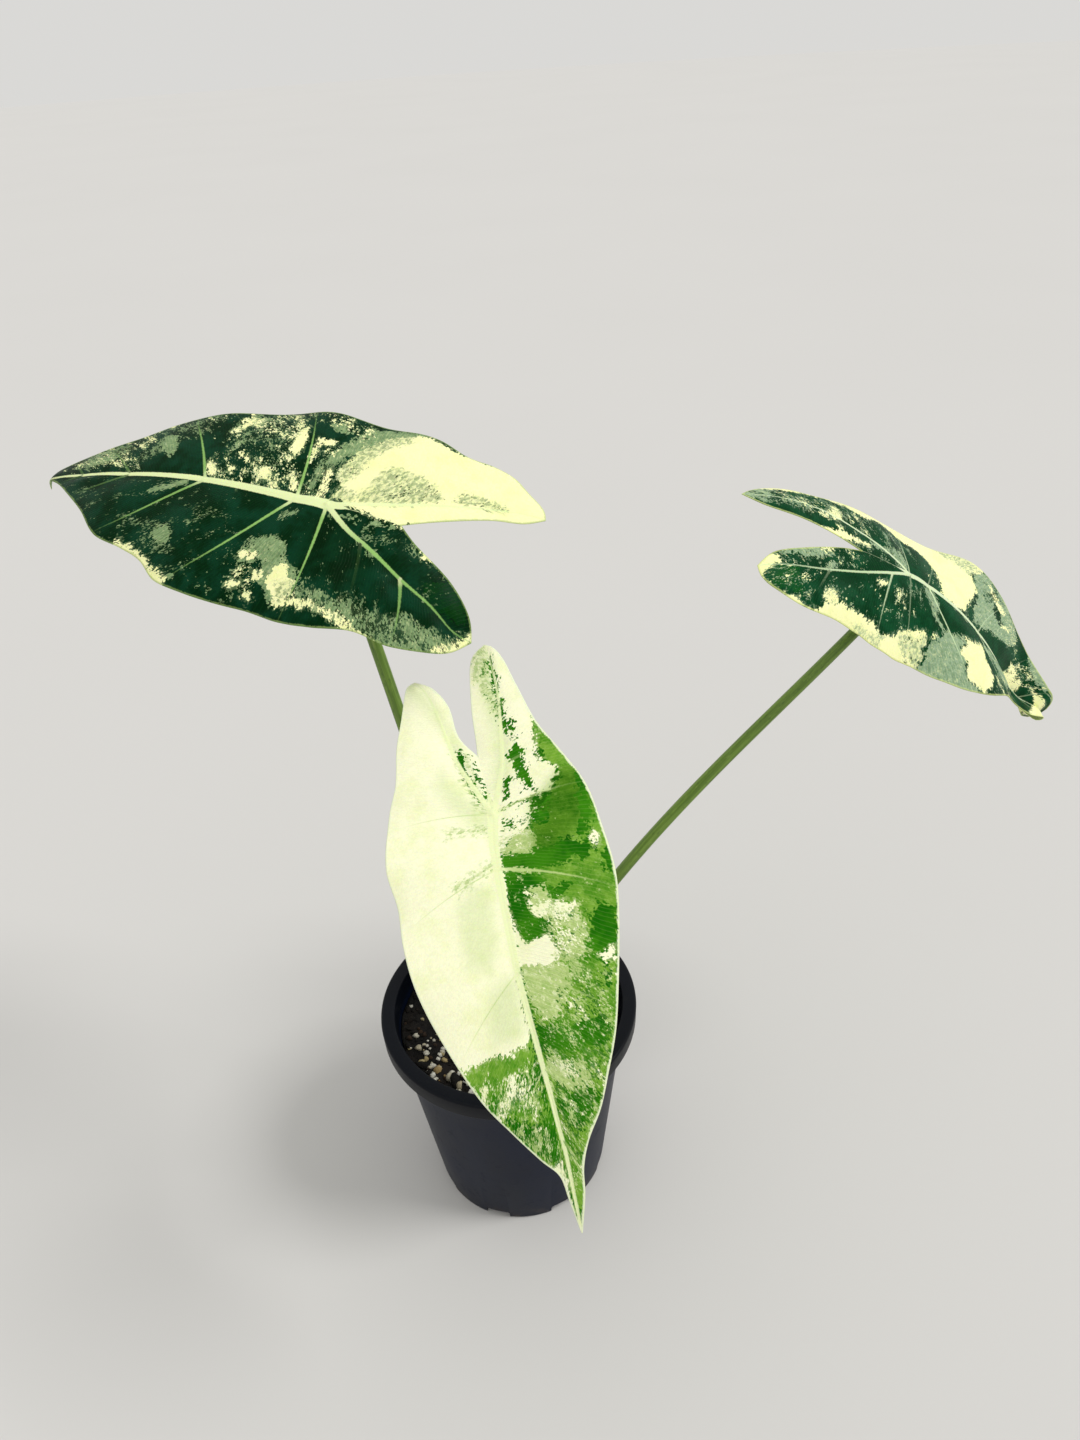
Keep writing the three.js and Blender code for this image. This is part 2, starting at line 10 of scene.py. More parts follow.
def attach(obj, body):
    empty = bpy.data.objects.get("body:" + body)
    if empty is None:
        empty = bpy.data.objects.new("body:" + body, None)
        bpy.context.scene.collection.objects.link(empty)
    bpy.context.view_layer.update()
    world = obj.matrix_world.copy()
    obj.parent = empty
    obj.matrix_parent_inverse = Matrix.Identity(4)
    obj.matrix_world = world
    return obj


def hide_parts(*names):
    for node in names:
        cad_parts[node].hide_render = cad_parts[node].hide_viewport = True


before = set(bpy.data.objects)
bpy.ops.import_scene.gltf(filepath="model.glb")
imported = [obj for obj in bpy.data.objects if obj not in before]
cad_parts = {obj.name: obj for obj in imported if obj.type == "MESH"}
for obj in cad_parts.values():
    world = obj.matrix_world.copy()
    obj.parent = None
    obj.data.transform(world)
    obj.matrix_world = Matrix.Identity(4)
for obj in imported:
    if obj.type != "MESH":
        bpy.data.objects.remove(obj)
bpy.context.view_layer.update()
mm = 0.001  # the numbers of the plant and its pot are in millimetres and degrees


class Value:
    # a node's output, with arithmetic
    def __init__(self, shader, socket):
        self.shader = shader
        self.socket = socket

    def math(self, operation, *others):
        return self.shader.node("Math", {"operation": operation}, [self, *others])

    def __add__(self, other):
        return self.math("ADD", other)

    def __sub__(self, other):
        return self.math("SUBTRACT", other)

    def __rsub__(self, other):
        return self.shader.node("Math", {"operation": "SUBTRACT"}, [other, self])

    def __mul__(self, other):
        return self.math("MULTIPLY", other)

    def __truediv__(self, other):
        return self.math("DIVIDE", other)

    __radd__ = __add__
    __rmul__ = __mul__


class Shader:
    def __init__(self, name):
        self.material = bpy.data.materials.new(name)
        self.material.use_nodes = True
        self.tree = self.material.node_tree
        self.tree.nodes.clear()

    def node(self, kind, settings=None, inputs=None, output=0):
        made = self.tree.nodes.new("ShaderNode" + kind)
        for key, setting in (settings or {}).items():
            if key == "stops":
                fillRamp(made.color_ramp, setting)
            else:
                setattr(made, key, setting)
        pairs = inputs.items() if isinstance(inputs, dict) else enumerate(inputs or [])
        for key, given in pairs:
            if isinstance(given, Value):
                self.tree.links.new(given.socket, made.inputs[key])
            else:
                made.inputs[key].default_value = given
        return Value(self, made.outputs[output]) if made.outputs else None

    def attribute(self, name, output="Vector"):
        return self.node("Attribute", {"attribute_name": name}, output=output)

    def number(self, name):
        return self.attribute(name, "Fac")

    def scaled(self, vector, scale):
        return self.node("VectorMath", {"operation": "MULTIPLY"}, [vector, scale])

    def moved(self, vector, step):
        return self.node("VectorMath", {"operation": "ADD"}, [vector, step])

    def mix(self, factor, first, second):
        return self.node("Mix", {"data_type": "RGBA"}, {0: factor, 6: first, 7: second}, output=2)

    def lit(self, colour, factor):
        # the colour multiplied by a grey value
        return self.node("VectorMath", {"operation": "SCALE"}, {0: colour, 3: factor})

    def place(self):
        return self.node("TexCoord", {}, {}, "Object")

    def noise(self, vector, stretch, detail, roughness):
        vector = self.scaled(vector, stretch)
        inputs = {"Vector": vector, "Scale": 1.0, "Detail": detail, "Roughness": roughness}
        return self.node("TexNoise", {}, inputs)

    def cells(self, vector, size, shape="CHEBYCHEV"):
        # small cells of the given size: a random value for each, and its middle
        stretched = self.scaled(vector, [1 / s for s in size])
        found = self.node("TexVoronoi", {"distance": shape}, {"Vector": stretched, "Scale": 1.0}, "Color")
        middle = Value(self, found.socket.node.outputs["Position"])
        return self.node("SeparateColor", {}, [found]), self.scaled(middle, size)

    def ramp(self, value, stops):
        return self.node("ValToRGB", {"stops": stops}, [value], "Color")

    def smooth(self, value, low, high):
        inputs = {"Value": value, "From Min": low, "From Max": high}
        return self.node("MapRange", {"interpolation_type": "SMOOTHSTEP"}, inputs)

    def finish(self, surface, inputs):
        # surface: the numbers and colours that are the same all over, inputs: what changes
        body = self.node("BsdfPrincipled", {}, {**surface, **inputs})
        self.node("OutputMaterial", {}, {"Surface": body})
        return self.material

    def bump(self, height, strength, distance):
        inputs = {"Height": height, "Strength": strength, "Distance": distance}
        return self.node("Bump", {}, inputs)


def fillRamp(ramp, stops):
    while len(ramp.elements) < len(stops):
        ramp.elements.new(0.5)
    for element, (place, colour) in zip(ramp.elements, stops):
        element.position = place
        element.color = colour


def paint(red, green, blue):
    # a colour as a screen shows it, from 0 to 255, made linear
    shares = [c / 255 for c in (red, green, blue)]
    return (*[c / 12.92 if c < 0.04045 else ((c + 0.055) / 1.055) ** 2.4 for c in shares], 1.0)


def pieceFrom(name, points, faces, material, replaced=()):
    # points in millimetres
    mesh = bpy.data.meshes.new(name)
    mesh.from_pydata((np.asarray(points, float) * mm).tolist(), [], [list(map(int, f)) for f in faces])
    mesh.materials.append(material)
    mesh.shade_smooth()
    piece = bpy.data.objects.new(name, mesh)
    bpy.context.scene.collection.objects.link(piece)
    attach(piece, "root")
    if replaced:
        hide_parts(*replaced)
    return piece


def addNumbers(piece, name, values):
    layer = piece.data.attributes.new(name, "FLOAT", "POINT")
    layer.data.foreach_set("value", np.asarray(values, np.float32).ravel())


def addVectors(piece, name, values):
    layer = piece.data.attributes.new(name, "FLOAT_VECTOR", "POINT")
    layer.data.foreach_set("vector", np.asarray(values, np.float32).ravel())


def turned(profile, segments):
    # a closed profile of (radius, height) swept round the z axis; points on the axis are shared
    angles = np.arange(segments) * 2 * math.pi / segments
    points, rings = [], []
    for radius, height in profile:
        if radius == 0:
            rings.append([len(points)] * segments)
            points.append((0, 0, height))
        else:
            rings.append(list(range(len(points), len(points) + segments)))
            points += [(radius * math.cos(a), radius * math.sin(a), height) for a in angles]
    faces = []
    for low, high in zip(rings, rings[1:]):
        for i in range(segments):
            k = (i + 1) % segments
            face = [low[i], low[k], high[k], high[i]]
            faces.append([v for n, v in enumerate(face) if v not in face[:n]])
    return points, [f for f in faces if len(f) > 2]


def roundedProfile(corners, steps=4):
    # corners as (radius, height, rounding); each one with a rounding becomes a short arc
    made = []
    for i, (radius, height, bend) in enumerate(corners):
        here = np.array([radius, height], float)
        if not bend:
            made.append(tuple(here))
            continue
        before = np.array(corners[i - 1][:2], float)
        after = np.array(corners[(i + 1) % len(corners)][:2], float)
        start = here + (before - here) / np.linalg.norm(before - here) * bend
        end = here + (after - here) / np.linalg.norm(after - here) * bend
        for t in np.linspace(0, 1, steps + 1):
            made.append(tuple((1 - t) ** 2 * start + 2 * t * (1 - t) * here + t * t * end))
    return made


def tubeFaces(sides, count):
    # joins rings of points into a tube; the rings are followed by a point for each end
    faces = []
    for i in range(count - 1):
        for k in range(sides):
            n = (k + 1) % sides
            faces.append([i * sides + k, i * sides + n, (i + 1) * sides + n, (i + 1) * sides + k])
    for k in range(sides):
        n = (k + 1) % sides
        faces.append([count * sides, n, k])
        faces.append([count * sides + 1, (count - 1) * sides + k, (count - 1) * sides + n])
    return faces


def stepLengths(line):
    return np.linalg.norm(np.diff(line, axis=0), axis=1)


def runningSum(steps):
    return np.concatenate([[0], np.cumsum(steps)])


def lump(detail, rng, roughness):
    # an uneven little stone round the origin
    shape = bmesh.new()
    bmesh.ops.create_icosphere(shape, subdivisions=detail, radius=1)
    offset = Vector(rng.uniform(-50, 50, 3))
    for v in shape.verts:
        coarse, fine = noise.noise(v.co * 1.3 + offset), noise.noise(v.co * 3.1 + offset)
        v.co *= 1 + roughness * coarse + roughness * 0.5 * fine
    points = np.array([v.co for v in shape.verts])
    faces = np.array([[v.index for v in f.verts] for f in shape.faces])
    shape.free()
    return points, faces


# Each blade is drawn flat, in millimetres: x to its right, y to its tip, the stalk's joint at 0, 0.
leafShapes = {
    "left": {
        "seat": (-36, 14.5, 261.5), "heading": 157, "pitch": 9, "roll": 19.5,
        "droop": 30, "tipBends": [(0.9, 1, 40)], "lobeDroop": 35,
        "twist": (0, 0), "lobeTwist": 2, "lean": 1, "sway": 0, "lobeLean": 6,
        "notch": -21, "tip": 111, "forks": [0, 9, 38.5, 65.5, 86], "lobeEnd": -54, "halfWidth": 36,
        "stalk": {"base": (-3.2, 1.2), "rise": (6, 2), "radii": (2.3, 1.75)},
        "ribLine": [(0, 0), (-0.8, 8), (-1.0, 25), (-1.0, 42), (-1.8, 60), (-2.3, 80), (-1.6, 100),
                    (0, 111)],
        "ribWidth": (1.85, 0.36), "costaWidth": (0.88, 0.2),
        "lateralWidth": {1: (0.56, 0.15), -1: (0.6, 0.15)},
        "right": {
            "fold": 6, "foldGain": 0, "curl": -17.5, "wave": (1.2, 34, 15),
            "inner": [(6.5, -31), (13, -41), (17, -49)], "lobe": (22, -54),
            "outer": [(25, -52), (28, -46.5), (32, -40.5), (33, -34), (31.5, -26), (34, -16.5), (36, -6),
                      (35.5, 8), (35, 20), (33, 30), (29, 41), (25.5, 52), (21.5, 63), (13.5, 73), (8, 85),
                      (4, 96), (1, 105)],
            "costa": [(2.4, -8.5), (6, -18), (10.5, -28), (15.5, -38), (20, -48)],
            "lobeLaterals": [(-38, -38), (-17, -17)], "ends": [1, 22, 58, 82, 95],
            "costaPale": True, "veinShow": [0, 0.08, 0.12, 1, 0.9, 0.3, 0.2],
        },
        "left": {
            "fold": -3, "foldGain": 0, "curl": -21.5, "wave": (1.3, 38, 30),
            "inner": [(4.5, -27.5), (10.5, -40), (17, -49)], "lobe": (23, -53.5),
            "outer": [(28.5, -49.5), (31.5, -43), (33, -34), (32.5, -23), (36, -12), (37, -4), (35.5, 9),
                      (36.5, 26), (34.5, 37.5), (29, 46), (26.5, 54), (24, 65), (16, 76), (10, 86),
                      (4.5, 96), (1.2, 105)],
            "costa": [(6.2, -8.5), (10.2, -17), (15.2, -28), (18.8, -38), (22.8, -47)],
            "lobeLaterals": [(-28, -34.5), (-14, -19)], "ends": [-3, 35, 66, 85, 96],
            "costaPale": False, "veinShow": [0.75, 0.05, 1, 1, 0.85, 0.25, 0.15],
        },
    },
    "front": {
        "seat": (4.2, -52, 205), "heading": -84, "pitch": -33, "roll": -6,
        "droop": 37, "tipBends": [], "lobeDroop": 20,
        "twist": (0, 0), "lobeTwist": -7, "lean": -5.5, "sway": 0, "lobeLean": 7,
        "notch": -16, "tip": 102, "forks": [0, 13.8, 38.5, 61, 78], "lobeEnd": -46, "halfWidth": 27,
        "stalk": {"base": (0.4, -3.6), "rise": (14, 6), "radii": (2.2, 1.65)},
        "ribLine": [(0, 0), (0.8, 8), (0.6, 20), (0.2, 40), (-0.8, 55), (-1.4, 68), (-1.5, 82), (-0.6, 95),
                    (0, 102)],
        "ribWidth": (1.5, 0.4), "costaWidth": (0.85, 0.2),
        "lateralWidth": {1: (0.2, 0.08), -1: (0.5, 0.12)},
        "right": {
            "fold": 2, "foldGain": 0, "curl": -7.5, "wave": (0.8, 30, 8),
            "inner": [(3.4, -23), (3.5, -33), (6, -40.5)], "lobe": (9.9, -44.4),
            "outer": [(12.5, -43), (14.5, -38), (16.5, -32), (19.5, -23), (22, -13), (25.5, -4), (27.5, 9),
                      (26, 19), (26, 28), (24.5, 39), (21, 51), (15, 65.5), (9.5, 74.5), (4.5, 82),
                      (1.2, 86.5), (0.6, 93)],
            "costa": [(3.6, -9), (5.8, -17), (6.5, -25), (7, -33), (8.2, -40)],
            "lobeLaterals": [(-27, -28), (-11, -13)], "ends": [0, 26, 58, 76, 86],
            "costaPale": True, "veinShow": [0.2, 0.5, 0.8, 0.9, 1, 0.9, 0.7],
        },
        "left": {
            "fold": 9, "foldGain": 0, "curl": -7.5, "wave": (0.8, 34, 20),
            "inner": [(0.8, -21), (2.6, -32), (6.6, -46)], "lobe": (11.7, -50.1),
            "outer": [(13.5, -48), (14.8, -43), (15.5, -34), (17, -22), (20.5, -12.5), (24, -3.5), (26, 8),
                      (27, 19.5), (25.5, 31), (22.5, 44), (19.5, 54.5), (15.5, 64), (12, 71.5), (7.5, 78.5),
                      (4.7, 85), (3.2, 92)],
            "costa": [(3.9, -8.5), (6.2, -15), (8.3, -24), (10.2, -33), (11.4, -43)],
            "lobeLaterals": [(-29, -31), (-12, -15)], "ends": [-4, 23, 50, 72, 85],
            "costaPale": True, "veinShow": [0.15, 0.3, 0.5, 1, 0.6, 0.5, 0.4],
        },
    },
    "right": {
        "seat": (132.2, 32.8, 219.8), "heading": 11, "pitch": -35, "roll": -19,
        "droop": 46.5, "tipBends": [(0.615, 0.9, -41), (0.895, 0.945, 168)], "lobeDroop": 20,
        "twist": (-7.5, -20), "lobeTwist": 4, "lean": 2, "sway": 0.5, "lobeLean": 0.5,
        "notch": -20, "tip": 95.5, "forks": [0, 8, 35, 57, 75], "lobeEnd": -56, "halfWidth": 30,
        "stalk": {"base": (3.4, 2), "rise": (26, 3), "radii": (2.2, 1.7)},
        "ribLine": [(0, 0), (0.3, 12), (1, 23), (2.4, 34), (4, 44), (4.4, 53), (3, 62), (1.6, 70),
                    (0.6, 84), (0, 95.5)],
        "ribWidth": (0.98, 0.3), "costaWidth": (0.62, 0.18),
        "lateralWidth": {1: (0.44, 0.2), -1: (0.34, 0.1)},
        "right": {
            "fold": -14, "foldGain": 58, "curl": -25, "wave": (1.4, 36, -14),
            "inner": [(1.8, -28), (5.4, -39.5), (9.6, -50.5)], "lobe": (15.2, -56.3),
            "outer": [(18.5, -55), (21.5, -51), (24, -43), (24.5, -30), (27.5, -21), (30, -14), (29.5, -5),
                      (28, 5), (29, 16), (28, 25), (24.5, 35), (20.5, 45), (13, 58), (8.5, 70), (7.5, 79),
                      (5.2, 86.5), (2.5, 91)],
            "costa": [(3.5, -9), (8, -21), (11, -34), (13, -46)],
            "lobeLaterals": [(-32, -38), (-8, -13.6)], "ends": [2, 33, 54, 72, 87],
            "costaPale": False, "veinShow": [0.25, 0.9, 0.3, 1, 0.6, 0.6, 0.4],
        },
        "left": {
            "fold": 7, "foldGain": 50, "curl": -19, "wave": (2, 66, 42),
            "inner": [(2.8, -27.5), (6.4, -39), (9, -50.5)], "lobe": (13.2, -57.4),
            "outer": [(16, -54.5), (19, -49.5), (20.8, -42), (20, -31), (21.2, -18), (23, -5), (27, 7),
                      (26, 20), (28.5, 34), (27.5, 41), (23, 49), (17.5, 58), (14.5, 67), (10.8, 77),
                      (6.8, 86), (3, 91)],
            "costa": [(3.2, -5.8), (6.8, -13), (9.2, -20.5), (13.2, -32), (14.7, -45)],
            "lobeLaterals": [(-34, -38), (-14, -16)], "ends": [3, 26, 53, 72, 87],
            "costaPale": True, "veinShow": [0.1, 0.3, 0.8, 0.3, 0.6, 0.5, 0.4],
        },
    },
}

# Lengths in millimetres. The raise is a vein's height above the blade, the keel its depth below.
bladeBuild = {
    "thickness": 0.55, "marginThickness": 0.3, "edgeBulge": 0.14,
    "rowSpacing": 0.75, "lobeSpacing": 0.62, "outerColumns": 40, "innerColumns": 22,
    "crowding": 0.62, "marginPull": 0.55, "ribPull": 0.45, "veinBow": 0.08,
    "quilt": 0.6, "shortWeb": 15, "webTop": -15.8, "webRows": 32,
    "fullRib": 1.9, "ribRaise": 0.24, "costaRaise": 0.16, "lateralRaise": 0.08, "groove": 0.1,
    "keel": (1.5, 0.4), "lateralKeel": 0.6, "jointRadius": 4.5, "jointSwell": 0.9,
    "veinApart": 400, "mapSize": 160.0, "mapStart": (39.5, 60), "mapApart": (80, 0),
}


def splinePoints(points, shares):
    # a smooth line through the points, equal shares to each stretch
    points = np.asarray(points, float)
    last = len(points) - 1
    place = np.clip(shares, 0, 1) * last
    low = np.minimum(place.astype(int), last - 1)
    t = (place - low)[:, None]
    p0 = points[np.maximum(low - 1, 0)]
    p1, p2 = points[low], points[low + 1]
    p3 = points[np.minimum(low + 2, last)]
    v0, v1 = (p2 - p0) / 2, (p3 - p1) / 2
    return (2 * p1 - 2 * p2 + v0 + v1) * t ** 3 + (3 * p2 - 3 * p1 - 2 * v0 - v1) * t ** 2 + v0 * t + p1


def shareAtHeight(curve, heights):
    # the share along a curve where it reaches each height
    shares = np.linspace(0, 1, 1200)
    ys = splinePoints(curve, shares)[:, 1]
    if ys[-1] < ys[0]:
        return np.interp(heights, ys[::-1], shares[::-1])
    return np.interp(heights, ys, shares)


def bladePose(leaf):
    heading, pitch = math.radians(leaf["heading"]), math.radians(leaf["pitch"])
    toTip = Vector((math.cos(heading) * math.cos(pitch), math.sin(heading) * math.cos(pitch),
                    math.sin(pitch)))
    level = Vector((math.sin(heading), -math.cos(heading), 0))
    right = Matrix.Rotation(-math.radians(leaf["roll"]), 3, toTip) @ level
    return np.array(toTip), np.array(right), np.array(right.cross(toTip))


def smoothRise(value, low, high):
    t = np.clip((value - low) / (high - low), 0, 1)
    return t * t * (3 - 2 * t)


def droopAt(leaf, y):
    share = y / leaf["tip"]
    bend = leaf["droop"] * np.maximum(share, 0) ** 1.25
    for start, end, angle in leaf["tipBends"]:
        bend = bend + angle * smoothRise(share, start, end)
    return np.radians(np.where(y >= 0, bend, leaf["lobeDroop"] * y / -leaf["lobeEnd"]))


def midribLine(leaf):
    # how far along and down the midrib's line is at each millimetre from -120 to 120
    steps = np.arange(1, 121)
    ahead, behind = droopAt(leaf, steps - 0.5), droopAt(leaf, -(steps - 0.5))
    along = np.concatenate([-np.cumsum(np.cos(behind))[::-1], [0], np.cumsum(np.cos(ahead))])
    down = np.concatenate([-np.cumsum(np.sin(behind))[::-1], [0], np.cumsum(np.sin(ahead))])
    return np.arange(-120, 121), along, down


def bentPlaces(leaf, x, y, lift):
    # carries flat points of the blade to their places in the air
    toTip, right, up = bladePose(leaf)
    heights, alongs, downs = midribLine(leaf)
    along, down = np.interp(y, heights, alongs), np.interp(y, heights, downs)
    bend = droopAt(leaf, y)[:, None]
    ahead, behind = np.maximum(y, 0) / leaf["tip"], np.maximum(-y, 0) / -leaf["lobeEnd"]

    middle = ribOffset(leaf, y)
    rightward = x >= middle

    def bySide(key, part=None):
        r, l = leaf["right"][key], leaf["left"][key]
        return np.where(rightward, r if part is None else r[part], l if part is None else l[part])

    normal = toTip * np.sin(bend) + up * np.cos(bend)
    sideways = leaf["lean"] * ahead ** 2 + leaf["lobeLean"] * behind ** 1.3
    sideways += leaf["sway"] * np.sin(math.pi * np.minimum(ahead, 1) ** 1.3)
    twist = leaf["twist"][0] * ahead + leaf["twist"][1] * ahead ** 3 + leaf["lobeTwist"] * behind
    twist = np.radians(twist)[:, None]
    fold = np.radians(bySide("fold") + bySide("foldGain") * ahead ** 2)
    curl = np.radians(bySide("curl")) / leaf["halfWidth"]
    reach = np.abs(x - middle)
    out = middle + (np.sin(fold + curl * reach) - np.sin(fold)) / curl * np.where(rightward, 1, -1)
    rise = (np.cos(fold) - np.cos(fold + curl * reach)) / curl + lift
    waves = np.cos(2 * math.pi * (y - bySide("wave", 2)) / bySide("wave", 1))
    rise = rise + bySide("wave", 0) * (reach / leaf["halfWidth"]) ** 2 * waves
    across = right * np.cos(twist) + normal * np.sin(twist)
    over = normal * np.cos(twist) - right * np.sin(twist)
    return (np.array(leaf["seat"]) + toTip * along[:, None] - up * down[:, None]
            + right * sideways[:, None] + across * out[:, None] + over * rise[:, None])


def crowded(count, strength):
    # shares from 0 to 1 that lie closer together near both ends
    t = np.linspace(0, 1, count)
    return t - strength * np.sin(2 * math.pi * t) / (2 * math.pi)


def lateralLines(leaf, half):
    return list(half["lobeLaterals"]) + list(zip(leaf["forks"], half["ends"]))


def bowed(start, end, shares, bow):
    # rows from start to end, sagging towards the base
    start, end = start[:, None, :], end[:, None, :]
    length = np.linalg.norm(end - start, axis=2, keepdims=True)
    control = (start + end) / 2 + np.array([0, -1]) * bow * length
    t = shares[None, :, None]
    return start * (1 - t) ** 2 + control * 2 * t * (1 - t) + end * t * t, length[:, :, 0]


def ribOffset(leaf, y):
    line = np.array(leaf["ribLine"])
    return np.interp(y, line[:, 1], line[:, 0])


def marginLine(leaf, half, way):
    return np.array([half["lobe"], *half["outer"], (0, leaf["tip"])], float) * (way, 1)


def veinStops(leaf, half, way):
    # where each vein leaves the rib, and the share of the margin that it reaches
    margin = marginLine(leaf, half, way)
    ends = [float(shareAtHeight(margin, end)) for _, end in lateralLines(leaf, half)]
    starts = [start for start, _ in lateralLines(leaf, half)]
    return np.array([half["lobe"][1], *starts, leaf["tip"]], float), np.array([0.0, *ends, 1.0])


def ribRows(leaf):
    # heights of the rows above the joint, the same for both halves
    rows = [np.linspace(bladeBuild["webTop"], 0, bladeBuild["webRows"])[:-1]]
    spans = []
    for key, way in (("right", 1), ("left", -1)):
        margin = marginLine(leaf, leaf[key], way)
        _, shares = veinStops(leaf, leaf[key], way)
        shares = shares[len(leaf[key]["lobeLaterals"]) + 1:]
        for number, (s0, s1) in enumerate(zip(shares, shares[1:])):
            edge = splinePoints(margin, np.linspace(s0, s1, 60))
            length = stepLengths(edge).sum()
            spans += [length] if key == "right" else []
            spans[number] = max(spans[number], length)
    heights = [*leaf["forks"], leaf["tip"]]
    for low, high, length in zip(heights, heights[1:], spans):
        f = crowded(max(7, int(length / bladeBuild["rowSpacing"])), bladeBuild["crowding"])
        rows.append(low + (high - low) * f[:-1])
    return np.concatenate(rows + [[leaf["tip"]]])


def halfGrids(leaf, half, way, upperRows):
    # one half as grids of flat points, with their lift and their place along and across the veins
    build = bladeBuild
    margin = marginLine(leaf, half, way)
    costa = np.array([(0, 0), *half["costa"], half["lobe"]], float) * (way, 1)
    sinus = np.array([(0, leaf["notch"]), *half["inner"], half["lobe"]], float) * (way, 1)
    stops, stopShares = veinStops(leaf, half, way)
    lobeEnd, webTop = half["lobe"][1], build["webTop"]
    lobeRows = np.linspace(lobeEnd, webTop, int((webTop - lobeEnd) / build["lobeSpacing"]))[:-1]
    ribs = np.concatenate([lobeRows, upperRows])
    shares = np.interp(ribs, stops, stopShares)
    between = np.interp(ribs, stops, np.arange(len(stops))) % 1
    quilts = np.sin(math.pi * between) ** 2
    onCosta = splinePoints(costa, shareAtHeight(costa, np.minimum(ribs, 0)))
    onRib = np.where(ribs[:, None] >= 0, np.stack([ribOffset(leaf, ribs), ribs], 1), onCosta)
    onMargin = splinePoints(margin, shares)
    rowPlace = runningSum(stepLengths(onMargin) * build["marginPull"] + stepLengths(onRib) * build["ribPull"])

    def gridOf(start, end, rows, count, side):
        columns = crowded(count, build["crowding"])
        points, length = bowed(start, end, columns, build["veinBow"])
        lifts = build["quilt"] * quilts[rows][:, None] * np.sin(math.pi * columns)
        lifts = lifts * np.minimum(1, length / build["shortWeb"])
        across = np.repeat(rowPlace[rows][:, None], len(columns), 1)
        return points, lifts, side * columns[None, :] * length, across

    outer = gridOf(onRib, onMargin, slice(None), build["outerColumns"], 1)
    lobe = ribs <= 0
    back = ribs[lobe]
    onSinus = splinePoints(sinus, np.clip((webTop - back) / (webTop - lobeEnd), 0, 1))
    onWeb = np.stack([0 * back, leaf["notch"] * np.clip(back / webTop, 0, 1)], 1)
    inward = np.where((back <= webTop)[:, None], onSinus, onWeb)
    inner = gridOf(onRib[lobe], inward, lobe, build["innerColumns"], -1)
    return [outer, inner], margin, costa, sinus


def distanceToLine(points, line):
    # the distance of each point to a bent line, and the share along it of the nearest place
    best = np.full(len(points), 1e9)
    where = np.zeros(len(points))
    lengths = stepLengths(line)
    starts = runningSum(lengths)
    for a, b, length, start in zip(line, line[1:], lengths, starts):
        t = np.clip(((points - a) @ (b - a)) / max(length ** 2, 1e-9), 0, 1)
        d = np.linalg.norm(points - a - t[:, None] * (b - a), axis=1)
        closer = d < best
        best = np.where(closer, d, best)
        where = np.where(closer, (start + t * length) / starts[-1], where)
    return best, where


def insideDistance(points, outline):
    # millimetres inside the outline, negative outside it
    outline = np.asarray(outline, float)
    ring = np.vstack([outline, outline[:1]])
    distance, _ = distanceToLine(points, ring)
    x, y = points[:, 0], points[:, 1]
    inside = np.zeros(len(points), bool)
    for (x0, y0), (x1, y1) in zip(ring, ring[1:]):
        if y0 != y1:
            crossing = ((y0 > y) != (y1 > y)) & (x < (x1 - x0) * (y - y0) / (y1 - y0) + x0)
            inside ^= crossing
    return np.where(inside, distance, -distance)


